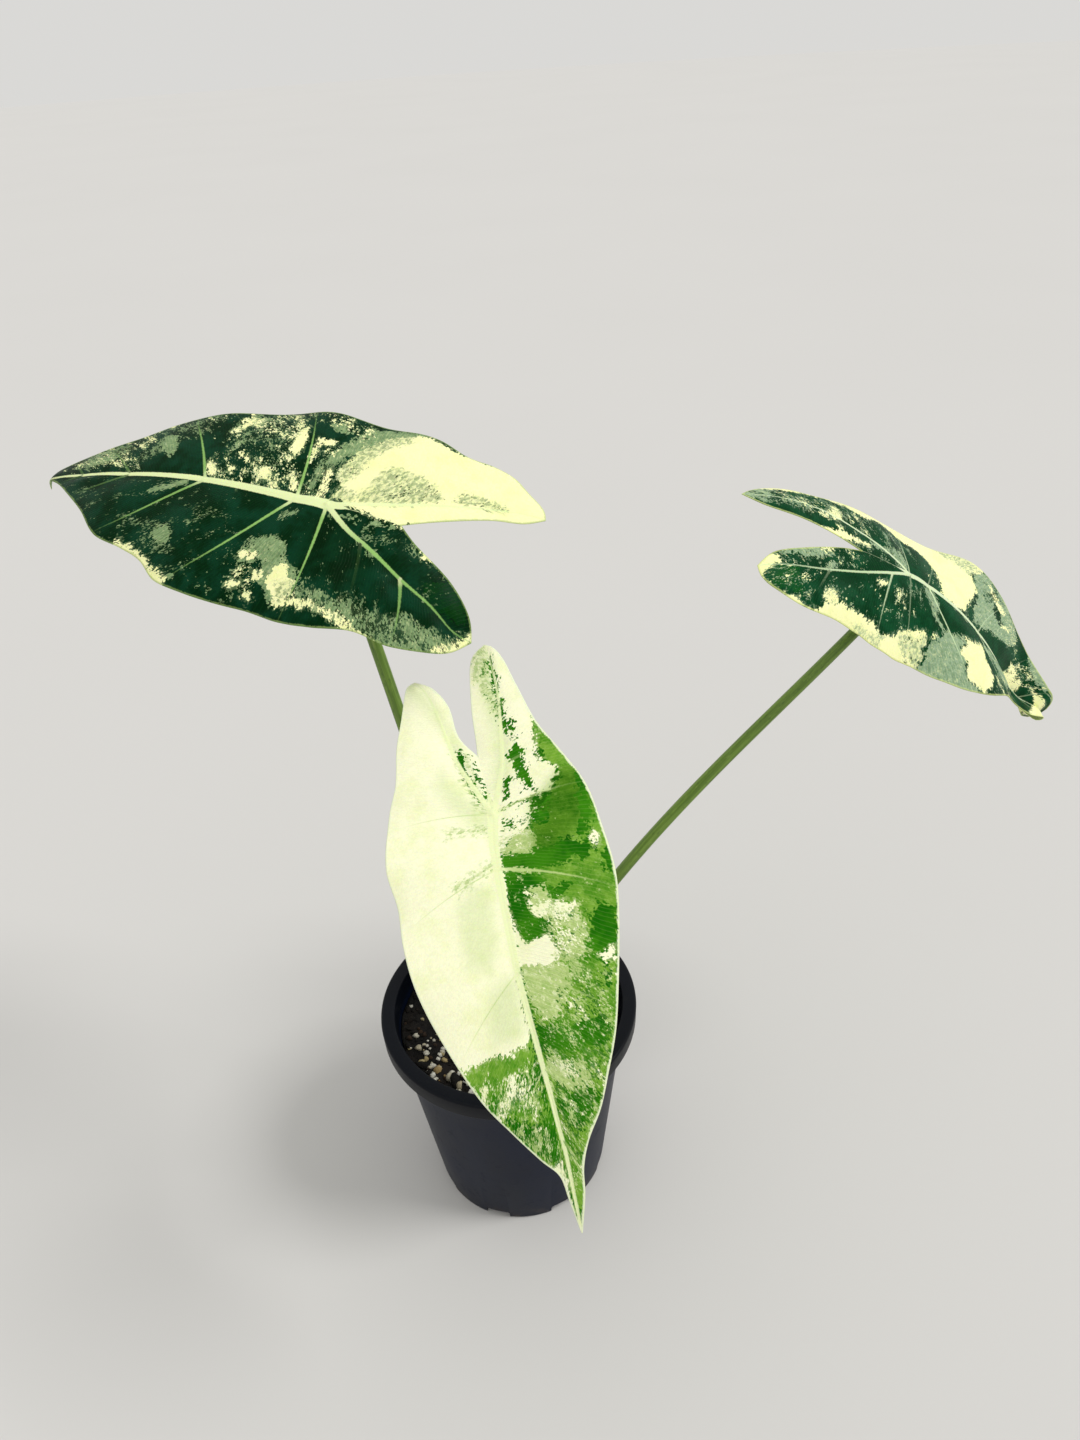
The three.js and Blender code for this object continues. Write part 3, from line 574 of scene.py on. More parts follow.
# Outlines on the flat blade, in millimetres. Each tone lies over the ones before it: fresh green, grey
# green, cream, shade (a grey-green half-tone on the cream), deeper and dark. Speckles and deeper zones are
# (how much, outline); the deeper zones are partly painted shade. Pale specks lie on the dark ground, dark ones
# on the pale and grey ones on either.
leafMarkings = {
    "left": {
        "deeper": [
            (0.6, [(-3, 1), (-10, 2), (-20, 0), (-23, -6), (-22, -18), (-14, -21), (-6, -9)]),
            (0.5, [(-22, -36), (-13, -33), (-10, -40), (-15, -49), (-22, -50)]),
        ],
        "fresh": [
            [(-20, -37), (-14, -34), (-11, -40), (-15, -47), (-20, -49)],
        ],
        "grey": [
            [(-30, 5), (-26, 9), (-23, 8.5), (-22.2, 10), (-23.6, 13), (-23.6, 15.6), (-20, 16.2),
             (-17.5, 15.2), (-15.6, 14), (-15.2, 10), (-14, 8.4), (-15, 5.5), (-15.6, 4), (-18, 4),
             (-20, 2), (-21.6, 0), (-22, -3), (-30, -4), (-33, -1.5), (-32, 2)],
            [(-23.5, 39), (-23.5, 44), (-21, 45), (-18.5, 44.5), (-18.5, 40.5), (-21, 38.5)],
            [(33, 3), (36, -6), (34, -15), (31, -9), (27, -2), (16, 3), (10, 5), (13, 8), (24, 6)],
            [(-30, -5), (-27, -4.6), (-26.4, -12), (-27, -17), (-27.4, -22), (-26.6, -28), (-24.6, -31),
             (-23.6, -34), (-25.4, -38), (-26, -43), (-26, -47), (-25, -50), (-29, -50), (-31.6, -45),
             (-32.6, -38), (-32.6, -30), (-31.2, -22), (-30.2, -14), (-29.5, -9)],
            [(1, 5.4), (4, 7.4), (9, 8.9), (14, 8.8), (14.6, 7), (10, 5.8), (5, 5.2), (2, 4.4)],
            [(5, 54.5), (7, 58), (10, 61), (15, 63.5), (15.5, 60), (13, 57), (9, 54.6)],
            [(-8.5, 54), (-7, 53), (-4, 48), (-2, 43.5), (-3.5, 43), (-6, 48)],
            [(-9.4, 9.6), (-7, 10), (-4.8, 7), (-5.6, 6.2), (-7.6, 8)],
            [(-3.3, -3), (-2, -3.4), (-1.8, -9), (-2.9, -10.4)],
            [(-3, -14), (-2.2, -14.4), (-1, -19.4), (-2, -19.6)],
            [(-12.4, -16.6), (-11, -17), (-10.6, -19.6), (-11.8, -20)],
            [(26, 8), (26.4, 11.6), (29, 13.4), (30.6, 12), (30, 8.4), (28, 7.4)],
            [(-34.4, 32), (-32.8, 34), (-32, 32.6), (-33.4, 31)],
            [(10, 36.9), (15, 36.8), (20, 37), (20.4, 35.4), (15, 35), (11, 35.4)],
            [(6, 88), (2, 93), (0.5, 84), (3, 76), (8, 72), (11, 74)],
        ],
        "cream": [
            [(3, 0), (6, -1), (9, 1.5), (12, 2.5), (16, 2), (20, 1.5), (24, 0), (27, -2), (30, -3),
             (31.5, -6), (33, -10), (34, -13), (32.5, -17), (31.5, -22), (31.5, -27), (33, -33), (37, -37),
             (33, -42), (28, -48), (26, -55), (21, -58), (16, -52), (12, -44), (6, -36), (2, -28),
             (-0.5, -22), (-0.2, -14), (1.2, -6)],
            [(-33.6, -1), (-31, 1), (-29, 3.6), (-26.6, 5.4), (-24.4, 4.8), (-22, 5), (-20.9, 3),
             (-21.8, 0.6), (-24, -0.4), (-25, -2.4), (-29.6, -3.2), (-31, -3.6)],
            [(-33, -1), (-32.2, -5), (-31.4, -9), (-31.4, -14), (-33, -19), (-33.4, -24), (-34.4, -30),
             (-33, -31), (-31.8, -24), (-30.6, -20.6), (-29.6, -16.6), (-30.6, -12.4), (-29.2, -9.8),
             (-28.8, -8), (-29.8, -5), (-28, -3)],
            [(-22.8, 15.8), (-20.6, 15.4), (-20.3, 10.6), (-21.6, 10), (-22, 13)],
            [(-27.4, 9.6), (-25, 9.2), (-24.2, 6.6), (-26.6, 7)],
            [(-33.4, 8.4), (-32, 10), (-30.6, 9.6), (-31.6, 8)],
            [(-31, 15.6), (-29.4, 15), (-28.4, 12.4), (-29.6, 12), (-30.4, 13.6)],
            [(-7.4, -29.6), (-5, -30), (-5.8, -33.6), (-7.4, -33.2)],
            [(-30, -44.6), (-28.6, -45.2), (-26.6, -48), (-23, -51.2), (-20, -52.6), (-26, -53.4),
             (-30, -49)],
            [(12, 11.8), (17, 13.6), (22.4, 14.4), (23.4, 11), (22.4, 8), (20.2, 8.8), (20, 11.6),
             (16, 12)],
            [(13.4, 17.6), (16, 20), (20, 21), (24, 21.2), (26.4, 19.8), (22, 17.6), (18, 16.6),
             (15, 16.4)],
            [(17.4, 41), (20, 41.4), (22, 40.5), (27, 38.4), (28.4, 35.6), (25, 35), (22.6, 38),
             (19, 38.5)],
            [(22.6, 39), (24, 41.2), (27.8, 40.6), (28, 39)],
            [(0.5, 36.4), (2, 39.5), (7, 41.4), (5, 39), (1.6, 36)],
            [(7, 28.6), (8.6, 31.4), (10.6, 34.4), (11.4, 32.6), (9.4, 29.8)],
            [(2.8, 32), (3.6, 33.8), (5.4, 33.6), (5, 31.2)],
            [(1, 22.6), (3.4, 24.2), (6.4, 24), (7.6, 21.4), (5.4, 19.8), (3.2, 20.2), (3.4, 22)],
            [(1, 16), (1.4, 19.4), (3.2, 20), (2.6, 17)],
            [(1.4, 9.6), (2.4, 12), (5, 14), (7.6, 14), (5.4, 12), (3, 10.6)],
            [(1, 4.2), (5, 5), (9, 5.2), (12.4, 4.4), (9, 3), (5, 2.4), (1.5, 2)],
            [(-39, 33), (-33.4, 34), (-31.4, 39), (-28.4, 43.6), (-26, 49.6), (-24.8, 56), (-29, 60),
             (-36, 46)],
        ],
        "shade": [
            [(3, -7), (8, -8), (16, -9), (18, -15), (16, -23), (12, -27), (8, -22), (4, -13)],
            [(14, -30), (17.5, -31), (19.5, -41), (18, -44), (15, -37)],
            [(9, 2.5), (20, 2), (30, -3), (33, -9), (30, -11), (24, -5), (15, -3), (8, -1)],
            [(2, 0), (7, -1), (6, -5), (2, -6)],
            [(-31, 0), (-26.6, 2), (-25.4, -2), (-30, -3)],
        ],
        "dark": [
            [(-0.5, -23), (1.5, -30), (0.5, -22.5)],
            [(22.8, 14), (25, 15), (27.4, 13), (25.6, 11), (25.4, 7), (23.6, 5), (23, 9)],
        ],
        "paleSpecks": [
            (0.4, [(0, 10), (10, 14), (15, 18), (14, 25), (8, 28), (0, 30)]),
            (0.4, [(14, 21), (34, 21), (33, 30), (29, 38), (22, 40), (19, 36), (20, 28), (14, 26)]),
            (0.1, [(9, 27), (19, 27), (19, 34), (9, 35)]),
            (0.28, [(0, 32), (9, 34), (18, 36), (18, 42), (8, 40), (0, 37)]),
            (0.12, [(16, 45), (30, 42), (24, 60), (18, 60)]),
            (0.36, [(0, 64), (16, 66), (22, 62), (12, 80), (4, 98), (0, 98)]),
            (0.36, [(22, 0), (36, 2), (35, 20), (28, 18), (27, 8)]),
            (0.2, [(0, 2), (22, 2), (22, 14), (0, 9)]),
            (0.3, [(-33, 7), (-27, 9), (-23, 9), (-24, 16), (-31, 16)]),
            (0.1, [(-33, -36), (-25, -38), (-22, -52), (-33, -50)]),
        ],
        "greySpecks": [
            (0.5, [(-30, -4), (-26, -5), (-25, -20), (-24, -27), (-25, -40), (-25, -49), (-32, -47),
                   (-34, -30), (-32, -15)]),
            (0.2, [(-27, -6), (-21, -6), (-21, -17), (-23, -26), (-27, -26)]),
            (0.06, [(-37, 8), (-3, 20), (-3, 75), (-30, 75)]),
            (0.3, [(-19, 36), (-9, 32), (-11, 28), (-20, 33)]),
            (0.3, [(-36, 38), (-31, 42), (-28, 36), (-33, 30)]),
            (0.16, [(-28, 34), (-16, 38), (-16, 60), (-27, 60)]),
            (0.12, [(-14, 66), (-3, 72), (-3, 100), (-18, 76)]),
            (0.3, [(-8, -13), (-4.6, -12), (-4, -28), (-8, -30)]),
            (0.14, [(-18, -34), (-8, -34), (-16, -48)]),
            (0.04, [(-30, 6), (-2, 6), (-2, -20), (-30, -30)]),
            (0.25, [(10, 22), (34, 22), (30, 42), (18, 44)]),
            (0.3, [(16, 50), (27, 46), (20, 66), (0, 66)]),
        ],
        "darkSpecks": [
            (0.34, [(-30, -4), (-25, -4), (-25, -18), (-30, -18)]),
            (0.56, [(-33, -19), (-22, -19), (-22, -33), (-33, -33)]),
            (0.36, [(-33, -33), (-22, -33), (-22, -50), (-31, -50)]),
            (0.14, [(-30, 6), (-17, 6), (-17, 16), (-24, 16)]),
            (0.32, [(0.5, 8.5), (16, 9), (16, 3), (0.5, 1)]),
            (0.16, [(9, -11), (15, -12), (15, -22), (11, -26), (8, -18)]),
            (0.34, [(10.5, -19), (15, -18), (15.4, -24), (12, -27)]),
            (0.3, [(14, -31), (17.5, -33), (18.5, -42), (16.5, -41)]),
            (0.3, [(11, 0.5), (15, -0.5), (16, -3.5), (12, -3)]),
            (0.45, [(0, 96), (4, 96), (14, 70), (6, 70)]),
            (0.12, [(24, 16), (34, 18), (34, 0), (24, 2)]),
        ],
    },
    "front": {
        # the first deeper zone is the green half's own olive; the soft patches on the pale parts are painted
        # shade
        "deeper": [
            (1.0, [(-9, 5), (-10, -1), (-14, -4), (-19, -8), (-24, -7), (-23.4, 0), (-21.5, 6), (-17, 10),
                   (-12, 11.4), (-9, 10)]),
            (0.3, [(3, 18), (8, 17), (12, 22), (12, 36), (6, 38), (3, 30)]),
            (0.34, [(0.6, 40), (3, 39), (7, 42), (9, 47), (9, 54), (4, 54), (0.8, 52)]),
            (0.3, [(0.5, 1), (3, -3), (7, -8), (10, -14), (13, -10), (10, -3), (6, 2), (2, 4)]),
            (0.34, [(-1, -6), (-3.6, -14), (-5.4, -24), (-6, -34), (-8, -44), (-10, -48), (-11.5, -44),
                    (-10, -34), (-9.4, -24), (-8, -14), (-4, -5)]),
            (0.3, [(2, -6), (4, -14), (7, -24), (10, -34), (14, -46), (12, -46), (7, -36), (4, -26),
                   (2, -18)]),
        ],
        "fresh": [
            [(-1, 15), (-14, 15.5), (-20, 13), (-18, 9), (-14, 11), (-6, 10.5), (-8, 7), (-8, 3),
             (-14, -1), (-18, -6), (-16, -11), (-15, -20), (-16.5, -30), (-20, -22), (-28, 0), (-30, 20),
             (-28, 34), (-23, 34), (-19, 38), (-14, 36), (-9, 33), (-11, 27), (-12, 22), (-8, 17)],
            [(0, 53), (3, 55), (8, 56), (20, 57), (24, 52), (16, 66), (10, 65), (4, 61), (0.5, 60)],
            [(-1, 37), (-9, 36.6), (-23, 39), (-22, 66), (-12, 74), (-4, 90), (0, 96), (0, 84), (-1, 60)],
            [(1, 64), (9, 68), (14, 70), (6, 82), (0.5, 88)],
            [(-0.5, 86), (-1, 102), (-6, 96), (-6, 84), (-3, 82)],
        ],
        "grey": [
            [(-0.6, 36), (-4, 36.4), (-9, 36.6), (-11.6, 38.4), (-11.4, 43), (-9.6, 47), (-8, 50),
             (-4, 50), (-2, 47), (-0.8, 43)],
            [(-0.6, 11), (-8.4, 11.4), (-9.6, 9), (-8.6, 5), (-4, 6), (-1.4, 8)],
            [(-1, 14.6), (-9, 16.6), (-8, 15), (-1, 13.8)],
            [(-2, 58), (-12, 60), (-12, 67), (-4, 66), (-2, 62)],
            [(-5.6, 19.6), (-10, 19), (-11, 24), (-17, 25), (-17, 31), (-11, 30), (-5, 25)],
            [(-11, 31), (-16, 31), (-17, 36), (-12, 37)],
            [(-9, -29), (-6.4, -33), (-6.2, -40), (-8, -45.4), (-10.4, -44), (-10, -36)],
        ],
        "cream": [
            [(0.3, 53), (2, 55.5), (4, 55), (6, 57), (8, 56.5), (10, 56.5), (12, 57), (13.5, 58),
             (15, 57.5), (16.5, 59), (18, 58.5), (20, 56), (29, 40), (32, 10), (29, -10), (22, -30),
             (16, -50), (6, -48), (0, -34), (0.8, -16), (-0.8, -10), (-1.2, 8), (-1, 25), (-1.5, 36),
             (0.2, 37)],
            [(0.5, -1), (-4, -1), (-9.6, -2.4), (-12, -3.6), (-15, -3), (-17, -6), (-18.6, -8.2),
             (-16, -10.4), (-14.4, -11), (-14.4, -15), (-15.2, -18), (-16.2, -21), (-16.8, -25),
             (-16.6, -33), (-18, -44), (-13, -54), (-8, -50), (0, -32), (2, -18), (2, -5)],
            [(0, -1), (-9.6, -2), (-9.8, 1.4), (-9, 4.6), (-6.6, 6), (-4.4, 6.4), (-2.4, 8.8), (-1, 10.4),
             (0.5, 8)],
            [(-1, 25), (-1.8, 28), (-2.6, 31.6), (-5, 32), (-9, 31), (-10, 33), (-11, 35), (-9, 37),
             (-7, 38), (-4, 37), (0, 37.5)],
            [(-5, 22), (-7.6, 24.4), (-11, 23.8), (-16.6, 24.6), (-15, 27.4), (-10, 27), (-6, 26.4)],
            [(-23.6, 35.4), (-23.4, 38.6), (-20.6, 39), (-19.4, 37), (-21, 36), (-22.4, 35)],
            [(-24.4, 9.4), (-24, 12.2), (-22.8, 12.6), (-22.2, 10), (-23.2, 8.8)],
            [(4, 65.5), (8, 68), (12, 69.5), (10.5, 66.5), (6, 64.5)],
            [(0, 82.5), (3, 84), (6, 82), (1.5, 87), (1, 95), (-0.5, 88)],
            [(-4, 59), (-8, 60), (-9, 63.5), (-5, 63)],
        ],
        "shade": [
            [(-8.8, -26), (-7.2, -30), (-6.4, -34), (-5.2, -38), (-6.4, -45), (-10, -50), (-12, -47),
             (-10.4, -38)],
            [(-1, 7), (-8, 7.4), (-8.6, 10.6), (-1, 10.6)],
            [(0.6, -1), (2.4, -8), (2.4, -16), (6, -20), (5.4, -10), (3, -1)],
            [(2, 3), (12, 2.4), (12, 4), (2, 5)],
            [(2, 12), (12, 16), (11, 18), (2, 14)],
        ],
        "dark": [
            [(-9, -20), (-8.4, -24), (-9.4, -29), (-9.4, -35), (-10.4, -40), (-11.6, -45), (-11.8, -42),
             (-10.8, -36), (-10.6, -30), (-10, -24)],
            [(-1, 15.2), (-0.8, 24), (-1.4, 25.4), (-2, 28), (-3, 31.4), (-5, 31.2), (-6, 30.2),
             (-9.6, 30.4), (-10, 28.4), (-7, 27.4), (-5, 25.4), (-4.4, 23), (-4.6, 20), (-6, 18.8),
             (-9.4, 18.6), (-9, 17.4), (-5, 16.4), (-2, 15.2)],
            [(-7.2, 21.6), (-5.6, 22), (-4.8, 20.8), (-5.6, 20.2)],
            [(-0.6, 13.6), (-5, 13.4), (-8, 14), (-11, 13.7), (-14, 13.1), (-17, 12.8), (-17.6, 11),
             (-15.4, 9.6), (-13.6, 11.2), (-11, 12.4), (-8, 12.5), (-5, 11.3), (-0.6, 10.9)],
            [(-17, 20.4), (-14, 22.7), (-11.4, 23.1), (-11.4, 21), (-14, 20)],
            [(-24.2, -6), (-24, 1), (-23.8, 5), (-23, 9), (-21.5, 9.9), (-20, 8.6), (-21, 5), (-21.8, 0),
             (-22.6, -6)],
            [(-22.6, 11), (-22, 14), (-20.4, 16.2), (-18.4, 14), (-19.4, 11.4), (-21, 10.4)],
            [(-26.9, 13), (-26.8, 21), (-25, 18), (-25, 14)],
            [(-14.2, 3), (-12.6, 4.8), (-11.4, 4), (-9.4, 5.2), (-9.6, 2), (-11, 0.4), (-13, 1.8)],
            [(-2, 3.2), (-4.8, 4.6), (-4.4, 2.3)],
            [(-25.6, 27), (-25, 33), (-22.6, 35.6), (-19, 37.4), (-16.4, 36), (-17, 33.2), (-19.2, 31.4),
             (-19.6, 28), (-22, 25.4)],
            [(-22, 40.6), (-20.2, 45.2), (-19.6, 44), (-20.6, 40.6)],
            [(-1.2, 50.6), (-1.6, 57.6), (-6, 57.6), (-12, 57), (-17, 57), (-19, 53), (-16, 50.6),
             (-12, 51), (-8, 53), (-5, 51.5)],
            [(-2, 68), (-3, 73), (-6, 76), (-10, 72), (-13, 68), (-9, 66), (-5, 67)],
            [(-11.6, -5), (-9.5, -4.4), (-8.4, -7), (-8.1, -12), (-7.2, -14.5), (-9, -16.2),
             (-10.5, -17.4), (-11.6, -15), (-10.6, -13), (-11.6, -9)],
            [(-11.4, -20.6), (-10, -20.8), (-10, -24.4), (-11.3, -24.2)],
            [(-3.2, -2.8), (-5, -4.3), (-5.4, -7), (-7.4, -7.4), (-6.6, -8.6), (-4.8, -8.2), (-4.4, -6),
             (-3.4, -4)],
            [(0.2, -2), (1.4, -8), (2.1, -15.6), (1.3, -15), (0.7, -9), (-0.1, -3)],
            [(2.7, -3.6), (4.1, -9), (5.2, -14), (4.7, -18.4), (3.5, -18.4), (3.9, -13), (3, -8)],
            [(1, 73), (5, 73), (9, 71), (12, 68), (10, 73), (6, 79.5), (2, 83), (0, 82), (0, 76)],
        ],
        "paleSpecks": [
            (0.46, [(-5, 20), (-11, 23), (-17, 25), (-18, 30), (-16, 38), (-9, 38), (-9, 30)]),
            (0.16, [(-2, 42), (-22, 42), (-20, 70), (-4, 90), (-1, 90)]),
            (0.52, [(0.5, 59), (7, 61.4), (16, 62), (14, 71), (2, 72)]),
            (0.22, [(0.5, 70), (10, 71), (2, 86), (0, 86)]),
            (0.12, [(-8, -2), (-16, 1), (-14, 8), (-8, 10)]),
            (0.05, [(-1, 15), (-6, 17), (-9, 30), (-2, 31)]),
            (0.34, [(-3, 6), (-9, 6), (-9, 11), (-2, 11)]),
        ],
        "greySpecks": [
            (0.32, [(-1, 40), (-22, 40), (-20, 70), (-4, 90), (-1, 90)]),
            (0.46, [(-9, 26), (-18, 26), (-18, 43), (-9, 43)]),
            (0.08, [(-16, 10), (-27, 8), (-27, 26), (-16, 22)]),
            (0.36, [(0.5, 60), (12, 64), (10, 76), (0.5, 86)]),
            (0.12, [(-1, 15), (-6, 17), (-9, 30), (-2, 31)]),
        ],
        "darkSpecks": [
            (0.3, [(-4, 4), (-14, 6), (-14, -2), (-6, -1)]),
            (0.2, [(-12, 17), (-25, 16), (-25, 9), (-18, 8)]),
            (0.1, [(2, 12), (9, 14.5), (9, 16.5), (2, 13.5)]),
            (0.12, [(2, 4), (5, 4.6), (5, 3.6), (2, 3)]),
            (0.42, [(-9, 43), (-17, 43), (-18, 50), (-9, 50)]),
            (0.14, [(-17, 36), (-22, 40), (-20, 50), (-16, 46)]),
            (0.38, [(-2, 50), (-18, 50), (-18, 66), (-3, 62)]),
            (0.34, [(-2, 62), (-16, 62), (-5, 84), (-1, 86)]),
            (0.3, [(2, 62), (12, 66), (6, 80), (0.5, 84)]),
            (0.16, [(-9, 26), (-22, 26), (-22, 34), (-10, 34)]),
            (0.1, [(-8, -4), (-13, -4), (-13, -24), (-9, -20)]),
            (0.22, [(-8, -24), (-7, -34), (-9, -44), (-12, -44), (-11, -26)]),
        ],
    },
    "right": {
        "fresh": [
            [(13, -43), (21, -42), (22, -50), (19, -54), (14, -52)],
        ],
        "grey": [
            [(22.3, 36), (23, 30), (22, 27.5), (20, 27), (17, 27.8), (16.5, 24.5), (14, 24.2),
             (12.5, 26.5), (10.5, 25.5), (11, 22), (12.4, 19.5), (12, 17), (13, 15.5), (15, 15),
             (16.5, 12.5), (18, 10.5), (22, 9.5), (26, 9), (31, 8), (32, 20), (29, 32), (24, 37)],
            [(1.5, 6), (2, 10), (4, 12.3), (7, 12.5), (9, 11.5), (11, 13.4), (13, 15.2), (14, 14.8),
             (11, 11.3), (9, 9.2), (7, 8.6), (4.5, 7.2), (3, 6.2)],
            [(3, -31), (5, -31), (6, -33), (7.5, -35), (8.5, -38), (9, -41), (8.8, -44), (10.4, -49),
             (7, -46), (5, -40), (3, -34)],
            [(8, -30), (10, -31), (10.4, -34), (8.6, -33.4)],
            [(0, 33), (-2, 42), (-4, 52), (-7, 57), (-10, 60), (-14, 60), (-17, 57), (-21, 53), (-24, 46),
             (-27, 43), (-24, 37), (-18, 35), (-12, 36), (-6, 33)],
            [(-16, 69), (-12, 72), (-9, 74), (-6, 79), (-5, 85), (-7, 90), (-11, 84), (-14, 77)],
            [(-2, -1), (-5, -0.6), (-8.4, -3), (-8, -6), (-6, -10), (-5.6, -15), (-4.4, -14), (-4, -8),
             (-1.6, -3)],
            [(-10, -49), (-18.5, -47), (-20, -52), (-13, -58)],
            [(23, -21), (28, -16), (28.5, -19), (25, -25), (24, -25)],
            [(5, 38), (6, 52), (8, 60), (12, 54), (9, 46), (7.4, 38)],
        ],
        "cream": [
            [(-0.6, 15), (-3, 15.4), (-6, 15.4), (-9, 15), (-12, 14), (-14, 10.6), (-15.4, 7), (-17.6, 2),
             (-18.6, -3), (-20, -8), (-18, -14), (-19.4, -22), (-20, -30), (-20, -40), (-18.6, -50),
             (-24, -48), (-29, -20), (-34, 0), (-34, 30), (-30, 43), (-25, 40), (-22, 36), (-18, 35),
             (-14, 36), (-10, 33), (-5, 30), (-1, 28), (0.6, 22)],
            [(16, 13), (18, 11.6), (18, 9.4), (16.4, 10.8)],
            [(17.2, 7.6), (20, 8.6), (22, 7.2), (24, 9), (26, 8), (33, 6), (36, -14), (27, -54), (22, -52),
             (22.6, -47), (22.6, -43), (24, -40), (24, -35.4), (22.6, -34.2), (20.4, -33), (20.4, -29.6),
             (20, -27), (21.4, -24), (22, -20), (23.4, -18), (22.6, -16), (24.2, -14), (25.8, -12),
             (24.6, -9), (24.2, -6.4), (21.4, -4), (19, -0.4), (18, 2), (17, 5)],
            [(16.4, -30), (18, -28.8), (20.4, -29.6), (20.4, -33), (18, -33.8), (16.4, -32.4)],
            [(10.6, -49.4), (13, -49), (14.2, -51.4), (15.6, -53), (17, -54.4), (20.4, -55), (18, -58),
             (13, -57), (10.6, -52)],
            [(3, -30.6), (4, -31), (5, -35), (3.4, -34.6)],
            [(7, 36), (9, 37.6), (11, 37.6), (12.6, 39.6), (12, 41), (14, 41.6), (15, 44), (17, 43),
             (19, 43), (20.6, 40.6), (22.4, 39.4), (22.4, 34), (22.6, 30), (20.6, 28.4), (18, 28),
             (17, 25), (15.6, 23.8), (14, 25.4), (12.4, 27), (10.4, 26), (10, 29), (9, 31.6), (7.4, 34.6)],
            [(-4, 60.5), (-4, 66), (-3, 72), (-1, 74.5), (0, 72), (3, 66), (6, 57), (7.6, 51.6), (6, 52.6),
             (3, 57), (0, 60.6), (-2, 60)],
            [(0, 83.5), (3, 81), (6, 78), (9, 79), (8, 88), (2, 96), (-1, 96), (-3, 86), (-3.5, 80),
             (-2, 82)],
            [(7, -10.2), (8.4, -10.8), (9.8, -13.6), (9, -14.2), (7.4, -12.4)],
            [(-14, 49), (-17, 52), (-18, 49), (-22, 44), (-19, 44), (-16, 47)],
            [(-15.4, -25), (-11, -24.6), (-10, -28), (-13, -29), (-16.4, -27)],
            [(-6, -25.8), (-7.6, -26), (-7, -30.2), (-5.8, -29.6)],
            [(-3.4, -16), (-4.6, -17), (-5, -24), (-5.2, -36), (-3, -38), (-2.4, -26)],
        ],
        "shade": [
            [(18, 8), (20, 4), (20, 0), (23, -4), (26, 0), (28, 8), (22, 9)],
            [(25, -10), (30, -12), (29, -20), (25, -22), (26.5, -15)],
            [(-20, 34), (-26, 40), (-30, 34), (-30, 22), (-25, 24)],
        ],
        "dark": [
            [(-1, 45), (1, 41.5), (2.6, 44), (4, 50), (2.8, 56), (0, 60), (-3, 61), (-4.5, 58), (-5, 54),
             (-3, 49)],
            [(-3, 72.5), (0, 73), (3, 74), (6, 78), (4, 81), (0, 83), (-2, 79), (-5, 75)],
            [(-9, 48), (-11, 50), (-14, 49), (-16, 46), (-13, 45), (-11, 46)],
            [(7.4, 38), (9, 47), (12.6, 50.4), (14, 44.6), (12, 41), (10, 38.6)],
            [(15, 44), (17.4, 48.4), (21, 44), (18, 43.6)],
            [(-5.6, -28), (-9.6, -29), (-10, -40), (-9.6, -50), (-5.4, -44)],
        ],
        "paleSpecks": [
            (0.42, [(8, -2.6), (14, -2.6), (14.4, -7.4), (8, -7.4)]),
            (0.26, [(16, -4), (19.6, -4), (19.6, -9), (16, -9)]),
            (0.3, [(16, -25), (20.6, -26), (21, -34), (16, -33)]),
            (0.07, [(9, -10), (22, -6), (22, -30), (12, -36)]),
            (0.24, [(12, -36), (22, -38), (20, -54), (10, -50)]),
            (0.26, [(2, -15), (7, -18), (9, -28), (10, -44), (4, -32), (2, -26)]),
            (0.4, [(14, 45), (20, 46), (12, 62), (8, 66), (9, 54)]),
            (0.34, [(-9.6, -29), (-18, -29), (-19, -48), (-10, -48)]),
            (0.2, [(-9, -14), (-17, -14), (-18, -26), (-6, -26)]),
            (0.2, [(-1, 15), (-8, 14), (-9, 9), (-2, 9)]),
            (0.46, [(-6, 62), (-3, 78), (-8, 84), (-11, 72)]),
            (0.2, [(12, 3), (14.6, 4), (15, -2), (12, -2)]),
            (0.4, [(-18, 50), (-4, 50), (-8, 62), (-18, 60)]),
        ],
        "greySpecks": [
            (0.3, [(-8, 5), (-16, 5), (-18, -14), (-8, -10)]),
            (0.3, [(0, -4), (-2, -4), (-2, -24), (0, -24)]),
            (0.3, [(1, 20), (3, 22), (3, 36), (1, 36)]),
            (0.2, [(2, 5), (10, 6), (10, 0), (3, -4)]),
            (0.3, [(4, 38), (12, 46), (12, 56), (6, 56)]),
            (0.3, [(-10, -20), (-18, -20), (-18, -48), (-10, -48)]),
        ],
        "darkSpecks": [
            (0.16, [(18, 9), (27, 8), (27, -2), (19, 1)]),
            (0.36, [(-25, 46), (-16, 36), (-14, 44), (-20, 52)]),
            (0.2, [(3, -30), (7, -32), (11, -50), (6, -48)]),
            (0.2, [(2, 12), (9, 12), (9, 9), (3, 6.4)]),
            (0.2, [(-2, -2), (-9, -2), (-9, -14), (-4, -12)]),
            (0.26, [(-4, 60), (1, 60), (0, 72), (-4, 72)]),
            (0.3, [(-10, -48), (-19, -48), (-14, -58)]),
        ],
    },
}
